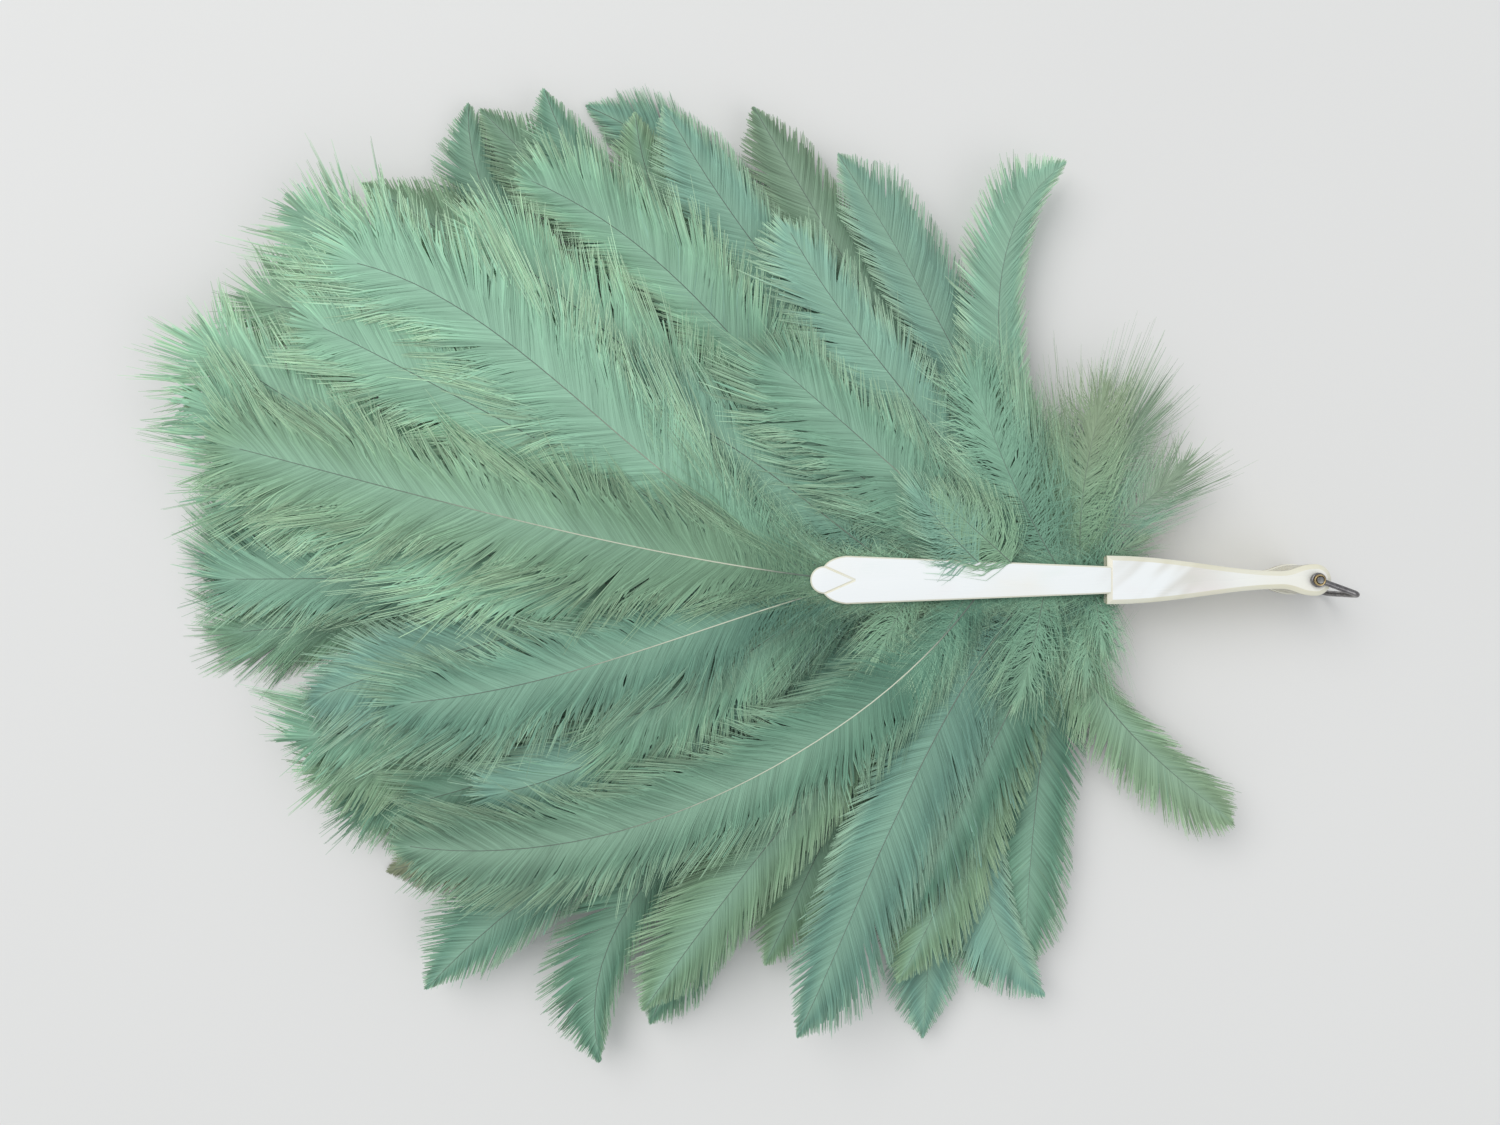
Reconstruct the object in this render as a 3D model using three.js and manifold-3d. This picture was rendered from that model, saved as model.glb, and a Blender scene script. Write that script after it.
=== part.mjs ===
// Folding feather fan: mother-of-pearl sticks that turn on one rivet, with ostrich plumes bound to each.
// Millimetres, +Z up. The fan lies closed on a table at z = 0. The rivet's axis is Z, the sticks point along -X.
import * as THREE from "three";
import { mergeVertices } from "three/addons/utils/BufferGeometryUtils.js";
import Module from "manifold-3d";

const wasm = await Module();
wasm.setup();

// Stack of sticks
const stickCount = 14; // two guards and the sticks between them
const stickThickness = 1.1;
const stickGap = 0.15; // running gap between neighbours
const stickInset = 0.35; // how much narrower an inner stick is than a guard, on each side

// Outline of the blade, from the rivet to the shoulder
const headRadius = 5.4;
const neckReach = 12;
const neckHalfWidth = 3;
const shoulderReach = 71;
const shoulderHalfWidth = 8.3;

// Thinned extension of an inner stick, which carries the quills
const extensionThickness = 0.5;
const extensionLength = 92;
const extensionHalfWidth = 3;
const extensionEndHalfWidth = 2.4;

// Guards
const guardThickness = 3;
const guardBevelWidth = 1.6;
const guardBevelDepth = 1.1;
const guardExtensionThickness = 1.7;
const guardExtensionLength = 96.6; // shoulder to the middle of the tip lobe
const guardRootHalfWidth = 4.6;
const guardEndHalfWidth = 8.25;
const guardEdgeBevel = 0.5;
const tipShoulderLength = 7.6;
const tipLobeRadius = 4.7;
const tipGrooveLength = 10.6; // from the lobe's notches back to the point of the V
const tipGrooveWidth = 0.6;
const extensionFuse = 1.5; // how far an extension runs into its blade

// Rivet and washers
const pinRadius = 0.95;
const pinClearance = 0.1;
const pinHeadRadius = 1.25;
const pinHeadHeight = 0.5;
const pinProud = 0.2; // how far the pin's ends stand past the washers
const washerRadius = 2;
const washerHeight = 0.75;
const washerDish = 0.3; // depth of the hollow that takes the pin's end
const washerGap = 0.15;

// Bail, a bent wire loop with an eye at each end
const bailWireRadius = 0.95;
const bailEyeRadius = 2.5;
const bailEyeThickness = 1.5;
const bailGap = 0.2; // eye to guard
const bailLoopGap = 8.6; // clear space between the heads and the bow
const bailBendRadius = 3;
const bailAngle = -20;

// Quills and vanes
const plumeReach = 390; // longest plume, from the rivet to its tip
const plumeHalfWidth = 26; // widest vane
const quillHalfWidth = 0.7;
const quillThickness = 0.4;
const quillSeat = 0.1; // gap between a quill and the extension that carries it
const quillLane = 2; // sideways place of the outer quills on an extension
const quillBound = 20; // length bound to the extension
const quillStart = 3; // nearest a quill comes to the shoulder
const bareQuill = 13; // free length before the vane starts
const vaneRise = 46;
const vaneTaper = 85;
const vaneShare = 0.42; // vane's thickness as a share of its room beside an extension
const vaneThickness = 0.45; // past the guards' tips
const vaneStations = 11;

// Beyond the guards' tips the layers of plumes sink to the table, loosen, and settle again at the rim
const loosenLength = 98;
const loosePitch = 2.6;
const settleReach = 300;
const settleLength = 120;
const settledPitch = 1.6;

// Plumes of each stick, front guard first. The quill lies in the left, centre or right lane and leaves the
// extension at leaveAt, heading leave degrees from the stick's axis. The tip lies at bearing and reach from the
// rivet, and the shaft heads arrive degrees there. Angles are positive towards +Y. leaveAt, reach and vane are
// shares of extensionLength, plumeReach and plumeHalfWidth.
const plumage = [
  [
    { lane: "left", leaveAt: 0.97, leave: 14, bearing: 18, reach: 0.887, arrive: 12, vane: 1 },
    { lane: "centre", leaveAt: 0.98, leave: 6, bearing: 7, reach: 0.954, arrive: 14, vane: 0.92 },
    { lane: "right", leaveAt: 0.97, leave: -15, bearing: -7.5, reach: 0.8, arrive: -4, vane: 0.85 },
  ],
  [
    { lane: "left", leaveAt: 0.38, leave: 46, bearing: 22, reach: 0.513, arrive: 40, vane: 0.85 },
    { lane: "centre", leaveAt: 0.91, leave: -12, bearing: 9.5, reach: 0.982, arrive: 42, vane: 0.92 },
    { lane: "right", leaveAt: 0.45, leave: -55, bearing: -16, reach: 0.823, arrive: 8, vane: 0.85 },
  ],
  [
    { lane: "left", leaveAt: 0.32, leave: 40, bearing: 21, reach: 0.505, arrive: 75, vane: 0.77 },
    { lane: "centre", leaveAt: 0.86, leave: -14, bearing: 12, reach: 0.997, arrive: 32, vane: 0.96 },
    { lane: "right", leaveAt: 0.26, leave: -50, bearing: -41, reach: 0.6, arrive: -62, vane: 0.77 },
  ],
  [
    { lane: "left", leaveAt: 0.75, leave: 34, bearing: 14, reach: 0.667, arrive: -2, vane: 0.77 },
    { lane: "centre", leaveAt: 0.95, leave: -8, bearing: -6.7, reach: 0.879, arrive: -22, vane: 0.85 },
    { lane: "right", leaveAt: 0.14, leave: -68, bearing: -40, reach: 0.492, arrive: -58, vane: 0.73 },
  ],
  [
    { lane: "left", leaveAt: 0.75, leave: 36, bearing: 22.5, reach: 0.792, arrive: 36, vane: 0.85 },
    { lane: "centre", leaveAt: 0.91, leave: 22, bearing: 20, reach: 0.949, arrive: 36, vane: 0.96 },
    { lane: "right", leaveAt: 0.37, leave: -46, bearing: -32.5, reach: 0.695, arrive: -55, vane: 0.73 },
  ],
  [
    { lane: "left", leaveAt: 0.26, leave: 62, bearing: 34, reach: 0.556, arrive: 60, vane: 0.69 },
    { lane: "centre", leaveAt: 0.64, leave: 48, bearing: 27, reach: 0.777, arrive: 22, vane: 0.77 },
    { lane: "right", leaveAt: 0.15, leave: -65, bearing: -44.5, reach: 0.508, arrive: -58, vane: 0.69 },
  ],
  [
    { lane: "left", leaveAt: 0.12, leave: 62, bearing: 60.5, reach: 0.428, arrive: 148, vane: 0.65 },
    { lane: "centre", leaveAt: 0.91, leave: 18, bearing: 14.5, reach: 0.992, arrive: 2, vane: 0.92 },
    { lane: "right", leaveAt: 0.1, leave: -75, bearing: -74, reach: 0.226, arrive: -142, vane: 0.58 },
  ],
  [
    { lane: "left", leaveAt: 0.12, leave: 90, bearing: 55, reach: 0.213, arrive: 124, vane: 0.77 },
    { lane: "centre", leaveAt: 0.32, leave: 58, bearing: 36.5, reach: 0.71, arrive: 62, vane: 0.73 },
    { lane: "right", leaveAt: 0.53, leave: -46, bearing: -25, reach: 0.864, arrive: -48, vane: 0.77 },
  ],
  [
    { lane: "left", leaveAt: 0.15, leave: 68, bearing: 42.5, reach: 0.564, arrive: 56, vane: 0.65 },
    { lane: "centre", leaveAt: 0.37, leave: -45, bearing: -34.5, reach: 0.762, arrive: -105, vane: 0.69 },
    { lane: "right", leaveAt: 0.21, leave: -52, bearing: -58.5, reach: 0.438, arrive: -138, vane: 0.62 },
  ],
  [
    { lane: "left", leaveAt: 0.53, leave: 52, bearing: 33, reach: 0.81, arrive: 72, vane: 0.69 },
    { lane: "centre", leaveAt: 0.86, leave: 30, bearing: 23, reach: 0.918, arrive: 28, vane: 0.81 },
    { lane: "right", leaveAt: 0.1, leave: -78, bearing: -55, reach: 0.431, arrive: -88, vane: 0.62 },
  ],
  [
    { lane: "left", leaveAt: 0.26, leave: 62, bearing: 41, reach: 0.651, arrive: 60, vane: 0.62 },
    { lane: "centre", leaveAt: 0.59, leave: 45, bearing: 30, reach: 0.854, arrive: 45, vane: 0.69 },
    { lane: "right", leaveAt: 0.37, leave: -46, bearing: -34.5, reach: 0.71, arrive: -66, vane: 0.65 },
  ],
  [
    { lane: "left", leaveAt: 0.59, leave: 46, bearing: 30, reach: 0.867, arrive: 92, vane: 0.65 },
    { lane: "centre", leaveAt: 0.28, leave: -60, bearing: -51, reach: 0.536, arrive: -86, vane: 0.62 },
    { lane: "right", leaveAt: 0.15, leave: -66, bearing: -53, reach: 0.462, arrive: -104, vane: 0.58 },
  ],
  [
    { lane: "left", leaveAt: 0.37, leave: 52, bearing: 35.5, reach: 0.736, arrive: 86, vane: 0.65 },
    { lane: "centre", leaveAt: 0.86, leave: 0, bearing: 1, reach: 1.01, arrive: 5, vane: 0.88 },
    { lane: "right", leaveAt: 0.8, leave: -24, bearing: -14.5, reach: 0.887, arrive: -10, vane: 0.77 },
  ],
  [
    { lane: "left", leaveAt: 0.42, leave: 50, bearing: 34, reach: 0.779, arrive: 22, vane: 0.65 },
    { lane: "centre", leaveAt: 0.91, leave: -5, bearing: -3, reach: 1, arrive: -6, vane: 0.88 },
    { lane: "right", leaveAt: 0.8, leave: -20, bearing: -18, reach: 0.872, arrive: -12, vane: 0.77 },
  ],
];

// Each lane's sideways place, its height between an extension's face and the next stick, and its height in the
// loosened layer, both as shares. The centre plume stays lowest, so the three never cross.
const lanes = {
  left: { offset: quillLane, besideStick: 0.75, loose: 0.85 },
  right: { offset: -quillLane, besideStick: 0.75, loose: 0.5 },
  centre: { offset: 0, besideStick: 0.27, loose: 0.15 },
};

// Places that follow from the sizes above
const stickPitch = stickThickness + stickGap;
const lastStick = stickCount - 1;
const washerTop = pinProud + washerHeight;
const lowerEye = washerTop + washerGap;
const backFace = lowerEye + bailEyeThickness + bailGap;
const stackFloor = backFace + guardThickness - stickThickness;
const frontFace = stackFloor + lastStick * stickPitch + guardThickness;
const upperEye = frontFace + bailGap;
const upperWasher = upperEye + bailEyeThickness + washerGap;
const pinTop = upperWasher + washerHeight + pinProud;
const pinHole = pinRadius + pinClearance;
const lobeReach = shoulderReach + guardExtensionLength;
const guardReach = lobeReach + tipLobeRadius;
const curveSteps = 9;

const { clamp, degToRad, lerp, smoothstep } = THREE.MathUtils;

function solidOf(geometry) {
  const bare = new THREE.BufferGeometry();
  bare.setAttribute("position", geometry.getAttribute("position"));
  bare.setIndex(geometry.getIndex());
  const welded = mergeVertices(bare, 1e-4);
  const vertProperties = new Float32Array(welded.getAttribute("position").array);
  const triVerts = new Uint32Array(welded.getIndex().array);
  return new wasm.Manifold(new wasm.Mesh({ numProp: 3, vertProperties, triVerts }));
}

function geometryOf(solid) {
  const mesh = solid.getMesh();
  const geometry = new THREE.BufferGeometry();
  geometry.setAttribute("position", new THREE.BufferAttribute(mesh.vertProperties, 3));
  geometry.setIndex(new THREE.BufferAttribute(mesh.triVerts, 1));
  geometry.computeVertexNormals();
  return geometry;
}

// Round blade head, waisted neck and flared gorge that ends square at the shoulder
function bladeShape(inset) {
  const head = headRadius - inset;
  const neck = neckHalfWidth - inset;
  const shoulder = shoulderHalfWidth - inset;
  const flare = shoulderReach - neckReach;
  const shape = new THREE.Shape();
  shape.moveTo(0, -head);
  shape.absarc(0, 0, head, -Math.PI / 2, Math.PI / 2, true);
  shape.bezierCurveTo(0.5 * neckReach, head, 0.55 * neckReach, neck, neckReach, neck);
  shape.bezierCurveTo(neckReach + 0.3 * flare, neck, neckReach + 0.6 * flare, shoulder, shoulderReach, shoulder);
  shape.lineTo(shoulderReach, -shoulder);
  shape.bezierCurveTo(neckReach + 0.6 * flare, -shoulder, neckReach + 0.3 * flare, -neck, neckReach, -neck);
  shape.bezierCurveTo(0.55 * neckReach, -neck, 0.5 * neckReach, -head, 0, -head);
  return shape;
}

function plate(shape, thickness) {
  return new THREE.ExtrudeGeometry(shape, { depth: thickness, bevelEnabled: false, curveSegments: curveSteps });
}

// Plate with its upper edge bevelled all round and its lower face flat
function bevelledPlate(shape, thickness, bevelWidth, bevelDepth) {
  const body = new THREE.ExtrudeGeometry(shape, {
    depth: thickness - bevelDepth,
    bevelThickness: bevelDepth,
    bevelSize: bevelWidth,
    bevelOffset: -bevelWidth,
    bevelSegments: 1,
    curveSegments: curveSteps,
  });
  const above = new THREE.BoxGeometry(4 * guardReach, 4 * guardReach, thickness * 2);
  above.translate(0, 0, thickness);
  return solidOf(body).intersect(solidOf(above));
}

function rivetHole(height) {
  const hole = new THREE.CylinderGeometry(pinHole, pinHole, height * 3, 24);
  hole.rotateX(Math.PI / 2);
  return solidOf(hole);
}

function innerStickGeometry() {
  const start = shoulderReach - extensionFuse;
  const end = shoulderReach + extensionLength - extensionEndHalfWidth;
  const extension = new THREE.Shape();
  extension.moveTo(start, -extensionHalfWidth);
  extension.lineTo(end, -extensionEndHalfWidth);
  extension.absarc(end, 0, extensionEndHalfWidth, -Math.PI / 2, Math.PI / 2, false);
  extension.lineTo(start, extensionHalfWidth);
  const blade = solidOf(plate(bladeShape(stickInset), stickThickness));
  const stick = blade.add(solidOf(plate(extension, extensionThickness)));
  return geometryOf(stick.subtract(rivetHole(stickThickness)));
}

// Guard's extension widens towards a lobed tip
function guardExtensionShape() {
  const start = shoulderReach - extensionFuse;
  const widest = lobeReach - tipShoulderLength;
  const corner = lobeReach - 0.25 * tipShoulderLength;
  const shape = new THREE.Shape();
  shape.moveTo(start, -guardRootHalfWidth);
  shape.lineTo(widest, -guardEndHalfWidth);
  shape.quadraticCurveTo(corner, -0.92 * guardEndHalfWidth, lobeReach, -tipLobeRadius);
  shape.absarc(lobeReach, 0, tipLobeRadius, -Math.PI / 2, Math.PI / 2, false);
  shape.quadraticCurveTo(corner, 0.92 * guardEndHalfWidth, widest, guardEndHalfWidth);
  shape.lineTo(start, guardRootHalfWidth);
  return shape;
}

// One leg of the V carved into the face behind the tip lobe
function tipGroove(side, face) {
  const slope = Math.atan2(side * tipLobeRadius, tipGrooveLength);
  const groove = new THREE.BoxGeometry(2 * tipGrooveLength, tipGrooveWidth, tipGrooveWidth);
  groove.rotateX(Math.PI / 4);
  groove.translate(tipGrooveLength, 0, 0);
  groove.rotateZ(slope);
  groove.translate(lobeReach - tipGrooveLength, 0, face);
  return solidOf(groove);
}

function guardGeometry() {
  const extensionFloor = stickThickness + quillSeat;
  const face = extensionFloor + guardExtensionThickness;
  const extension = bevelledPlate(guardExtensionShape(), guardExtensionThickness, guardEdgeBevel, guardEdgeBevel);
  const blade = bevelledPlate(bladeShape(0), guardThickness, guardBevelWidth, guardBevelDepth);
  const carved = extension
    .translate([0, 0, extensionFloor])
    .subtract(tipGroove(1, face))
    .subtract(tipGroove(-1, face));
  return geometryOf(blade.add(carved).subtract(rivetHole(guardThickness)));
}

function turned(profile) {
  const points = profile.map(([radius, height]) => new THREE.Vector2(radius, height));
  const geometry = new THREE.LatheGeometry(points, 24);
  geometry.rotateX(Math.PI / 2);
  return geometry;
}

// Pin with both ends peened over into the washers' hollows
function pinGeometry() {
  const lowerSeat = pinProud + washerDish - pinClearance;
  const upperSeat = pinTop - lowerSeat;
  const edge = 0.3 * pinHeadHeight;
  return turned([
    [0, 0],
    [pinHeadRadius - edge, 0],
    [pinHeadRadius, edge],
    [pinHeadRadius, lowerSeat],
    [pinRadius, lowerSeat],
    [pinRadius, upperSeat],
    [pinHeadRadius, upperSeat],
    [pinHeadRadius, pinTop - edge],
    [pinHeadRadius - edge, pinTop],
    [0, pinTop],
  ]);
}

// Dished washer with a rounded rim, hollow side up
function washerGeometry() {
  const hollow = pinHeadRadius + pinClearance;
  const rim = washerRadius - hollow;
  const floor = washerHeight - washerDish;
  return turned([
    [pinHole, 0],
    [washerRadius - 0.15 * rim, 0],
    [washerRadius, 0.5 * washerHeight],
    [washerRadius - 0.3 * rim, washerHeight],
    [hollow + 0.2 * rim, washerHeight],
    [hollow, floor],
    [pinHole, floor],
    [pinHole, 0],
  ]);
}

function bailGeometry() {
  const bow = headRadius + bailLoopGap + bailWireRadius;
  const start = pinHole + 0.75 * (bailEyeRadius - pinHole);
  const lower = lowerEye + bailEyeThickness - bailWireRadius;
  const upper = upperEye + bailWireRadius;
  const bend = bailBendRadius;
  const turn = bow - bend;
  const at = (x, z) => new THREE.Vector3(x, 0, z);
  const route = new THREE.CurvePath();
  route.add(new THREE.LineCurve3(at(start, lower), at(turn, lower)));
  route.add(new THREE.QuadraticBezierCurve3(at(turn, lower), at(bow, lower), at(bow, lower + bend)));
  route.add(new THREE.LineCurve3(at(bow, lower + bend), at(bow, upper - bend)));
  route.add(new THREE.QuadraticBezierCurve3(at(bow, upper - bend), at(bow, upper), at(turn, upper)));
  route.add(new THREE.LineCurve3(at(turn, upper), at(start, upper)));
  const section = new THREE.Shape();
  section.absarc(0, 0, bailWireRadius, 0, 2 * Math.PI, false);
  const wire = new THREE.ExtrudeGeometry(section, { steps: 36, extrudePath: route, curveSegments: 6 });
  const eye = new THREE.CylinderGeometry(bailEyeRadius, bailEyeRadius, bailEyeThickness, 28);
  eye.rotateX(Math.PI / 2);
  eye.translate(0, 0, 0.5 * bailEyeThickness);
  const eyeSolid = solidOf(eye);
  const bail = solidOf(wire)
    .add(eyeSolid.translate([0, 0, lowerEye]))
    .add(eyeSolid.translate([0, 0, upperEye]));
  return geometryOf(bail.subtract(rivetHole(pinTop)));
}

// Plan directions and places, by degrees from the stick's axis
function heading(degrees) {
  const angle = degToRad(degrees);
  return new THREE.Vector2(-Math.cos(angle), Math.sin(angle));
}

function shaftCurve(plume) {
  const leave = new THREE.Vector2(-shoulderReach - plume.leaveAt * extensionLength, lanes[plume.lane].offset);
  const tip = heading(plume.bearing).multiplyScalar(plume.reach * plumeReach);
  const handle = leave.distanceTo(tip) / 3;
  const fromLeave = leave.clone().addScaledVector(heading(plume.leave), handle);
  const toTip = tip.clone().addScaledVector(heading(plume.arrive), -handle);
  return new THREE.CubicBezierCurve(leave, fromLeave, toTip, tip);
}

// Layers are surfaces of revolution about the rivet, so the plumes clear each other however far the fan opens
function layerAt(stick, lane, radius) {
  const loosened = smoothstep(radius, guardReach, guardReach + loosenLength);
  const settled = smoothstep(radius, settleReach, settleReach + settleLength);
  const pitch = lerp(stickPitch, lerp(loosePitch, settledPitch, settled), loosened);
  const floor = lerp(stackFloor, 0, loosened) + (lastStick - stick) * pitch;
  const isGuard = stick === 0 || stick === lastStick;
  const room = stickThickness - extensionThickness;
  const beside = (extensionThickness + lanes[lane].besideStick * room) / stickThickness;
  const share = isGuard ? lanes[lane].loose : lerp(beside, lanes[lane].loose, loosened);
  return {
    height: floor + share * (pitch - stickGap),
    thickness: lerp(vaneShare * room, vaneThickness, loosened),
  };
}

// Height of a bound quill's middle: under the front guard, on top of the others
function boundHeight(stick) {
  const floor = stackFloor + (lastStick - stick) * stickPitch;
  if (stick === 0) return floor + stickThickness - 0.5 * quillThickness;
  if (stick === lastStick) return floor + 0.5 * quillThickness;
  return floor + extensionThickness + quillSeat + 0.5 * quillThickness;
}

function vaneHalfWidth(plume, run, length) {
  const grown = smoothstep(run, bareQuill, bareQuill + vaneRise);
  const taper = Math.sin(0.5 * Math.PI * clamp((length - run) / vaneTaper, 0, 1));
  return lerp(quillHalfWidth, plume.vane * plumeHalfWidth, grown * taper);
}

// Plume as a loft: four-sided sections with a raised shaft and knife edges, from the bound quill to a pointed tip
function plumeGeometry(plume, stick) {
  const shaft = shaftCurve(plume);
  const length = shaft.getLength();
  const bound = boundHeight(stick);
  const positions = [];
  const ring = (place, along, halfWidth, run) => {
    const side = new THREE.Vector2(-along.y, along.x).multiplyScalar(-halfWidth);
    const free = smoothstep(run, 0.4 * bareQuill, bareQuill);
    const height = (point) => lerp(bound, layerAt(stick, plume.lane, point.length()).height, free);
    const thickness = lerp(quillThickness, layerAt(stick, plume.lane, place.length()).thickness, free);
    const left = place.clone().sub(side);
    const right = place.clone().add(side);
    const middle = height(place);
    positions.push(left.x, left.y, height(left));
    positions.push(place.x, place.y, middle + 0.5 * thickness);
    positions.push(right.x, right.y, height(right));
    positions.push(place.x, place.y, middle - 0.5 * thickness);
  };
  const leave = shaft.getPointAt(0);
  const boundStart = Math.max(plume.leaveAt * extensionLength - quillBound, quillStart);
  ring(new THREE.Vector2(-shoulderReach - boundStart, leave.y), heading(0), quillHalfWidth, 0);
  ring(leave, heading(0.5 * plume.leave), quillHalfWidth, 0);
  const runs = [0.4 * bareQuill, bareQuill];
  for (let i = 1; i < vaneStations; i += 1) {
    runs.push(lerp(bareQuill, length, i / vaneStations));
  }
  for (const run of runs) {
    const place = shaft.getPointAt(run / length);
    ring(place, shaft.getTangentAt(run / length), vaneHalfWidth(plume, run, length), run);
  }
  const tip = shaft.getPointAt(1);
  positions.push(tip.x, tip.y, layerAt(stick, plume.lane, tip.length()).height);
  return loftGeometry(positions, 4);
}

// Closes rings of points, edges and ridges by turns, and a last single point into one skin. Each facet runs from
// a ridge forward to an edge, so the upper and lower skins bend alike and never meet between the edges.
function loftGeometry(positions, sides) {
  const tip = positions.length / 3 - 1;
  const rings = tip / sides;
  const faces = [];
  for (let i = 0; i < rings; i += 1) {
    for (let j = 0; j < sides; j += 1) {
      const a = i * sides + j;
      const b = i * sides + ((j + 1) % sides);
      const fromEdge = j % 2 === 0;
      if (i === rings - 1) faces.push(a, b, tip);
      else if (fromEdge) faces.push(a, b, a + sides, b, b + sides, a + sides);
      else faces.push(a, b, b + sides, a, b + sides, a + sides);
    }
  }
  for (let j = 2; j < sides; j += 1) faces.push(0, j, j - 1);
  const geometry = new THREE.BufferGeometry();
  geometry.setAttribute("position", new THREE.Float32BufferAttribute(positions, 3));
  geometry.setIndex(faces);
  geometry.computeVertexNormals();
  return geometry;
}

const finishes = {
  pearl: { color: 0xe9e4d8, roughness: 0.28, metalness: 0 },
  brass: { color: 0xb08d4f, roughness: 0.35, metalness: 1 },
  steel: { color: 0x4c4a47, roughness: 0.45, metalness: 1 },
  plume: { color: 0x6fa593, roughness: 0.9, metalness: 0 },
  underPlume: { color: 0x5c8f86, roughness: 0.9, metalness: 0 },
};

function addPiece(parent, name, geometry, finish) {
  const mesh = new THREE.Mesh(geometry, new THREE.MeshStandardMaterial(finishes[finish]));
  mesh.name = name;
  parent.add(mesh);
  return mesh;
}

function stickName(stick) {
  if (stick === 0) return "front_guard";
  if (stick === lastStick) return "back_guard";
  return `stick_${String(stick).padStart(2, "0")}`;
}

const fan = new THREE.Group();
fan.name = "feather_fan";

const rivet = new THREE.Group();
rivet.name = "rivet_group";
fan.add(rivet);
addPiece(rivet, "rivet_pin", pinGeometry(), "steel");
const frontWasher = addPiece(rivet, "front_washer", washerGeometry(), "brass");
frontWasher.position.z = upperWasher;
const backWasher = addPiece(rivet, "back_washer", washerGeometry(), "brass");
backWasher.rotation.x = Math.PI;
backWasher.position.z = washerTop;

const bail = addPiece(fan, "bail", bailGeometry(), "steel");
bail.rotation.z = degToRad(bailAngle);

// Sticks are drawn along +X and turned to face -X. The back guard is the front one rolled over.
for (let stick = 0; stick < stickCount; stick += 1) {
  const name = stickName(stick);
  const isGuard = stick === 0 || stick === lastStick;
  const group = new THREE.Group();
  group.name = `${name}_group`;
  fan.add(group);
  const blade = addPiece(group, name, isGuard ? guardGeometry() : innerStickGeometry(), "pearl");
  blade.position.z = stackFloor + (lastStick - stick) * stickPitch;
  blade.rotation.z = Math.PI;
  if (stick === lastStick) {
    blade.position.z += stickThickness;
    blade.rotation.set(0, Math.PI, 0);
  }
  for (const plume of plumage[stick]) {
    const finish = stick < stickCount / 2 ? "plume" : "underPlume";
    addPiece(group, `plume_${name}_${plume.lane}`, plumeGeometry(plume, stick), finish);
  }
}

export default fan;
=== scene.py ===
import math
from types import SimpleNamespace

import bmesh
import bpy
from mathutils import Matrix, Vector


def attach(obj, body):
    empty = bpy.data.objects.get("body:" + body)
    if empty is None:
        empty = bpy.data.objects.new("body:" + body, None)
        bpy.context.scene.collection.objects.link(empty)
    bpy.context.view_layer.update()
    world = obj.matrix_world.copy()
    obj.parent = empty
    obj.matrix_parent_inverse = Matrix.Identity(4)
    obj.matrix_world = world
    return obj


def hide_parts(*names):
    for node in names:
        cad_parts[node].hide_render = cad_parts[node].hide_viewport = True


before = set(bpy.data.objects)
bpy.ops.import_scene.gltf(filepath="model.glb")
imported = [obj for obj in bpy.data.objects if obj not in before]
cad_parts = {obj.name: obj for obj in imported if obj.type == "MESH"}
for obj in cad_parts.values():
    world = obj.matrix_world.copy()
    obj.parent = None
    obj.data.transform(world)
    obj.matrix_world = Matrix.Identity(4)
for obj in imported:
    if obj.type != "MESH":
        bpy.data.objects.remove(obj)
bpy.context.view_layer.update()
mm = 0.001

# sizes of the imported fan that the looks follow, as in the part's source
fan = {
    "stickCount": 14,
    "stickThickness": 1.1 * mm,
    "stickGap": 0.15 * mm,
    "stackFloor": 4.7 * mm,
    "shoulderReach": 71 * mm,
    "extensionLength": 92 * mm,
    "extensionThickness": 0.5 * mm,
    "guardReach": 172.3 * mm,
    "guardFace": 23.85 * mm,  # top of the front guard's extension
    "plumeReach": 390 * mm,
    "plumeHalfWidth": 26 * mm,
    "quillThickness": 0.4 * mm,
    "quillSeat": 0.1 * mm,
    "quillBound": 20 * mm,
    "quillStart": 3 * mm,
    "bareQuill": 13 * mm,
    "loosenLength": 98 * mm,
    "loosePitch": 2.6 * mm,
    "settleReach": 300 * mm,
    "settleLength": 120 * mm,
    "settledPitch": 1.6 * mm,
}
fan["stickPitch"] = fan["stickThickness"] + fan["stickGap"]
stickNames = ["front_guard"] + [f"stick_{i:02d}" for i in range(1, 13)] + ["back_guard"]
# each lane's sideways place, its height as a share beside an extension and in the loosened layer, and its barbs' lift
lanes = {
    "left": {"offset": 2 * mm, "besideStick": 0.75, "loose": 0.85, "lift": -0.4},
    "right": {"offset": -2 * mm, "besideStick": 0.75, "loose": 0.5, "lift": 0.0},
    "centre": {"offset": 0.0, "besideStick": 0.27, "loose": 0.15, "lift": 0.4},
    "face": {"offset": 6 * mm, "besideStick": 0.0, "loose": 0.0, "lift": 0.0},  # on the front guard
}


def newObject(name, data):
    made = bpy.data.objects.new(name, data)
    bpy.context.scene.collection.objects.link(made)
    return made


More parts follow.
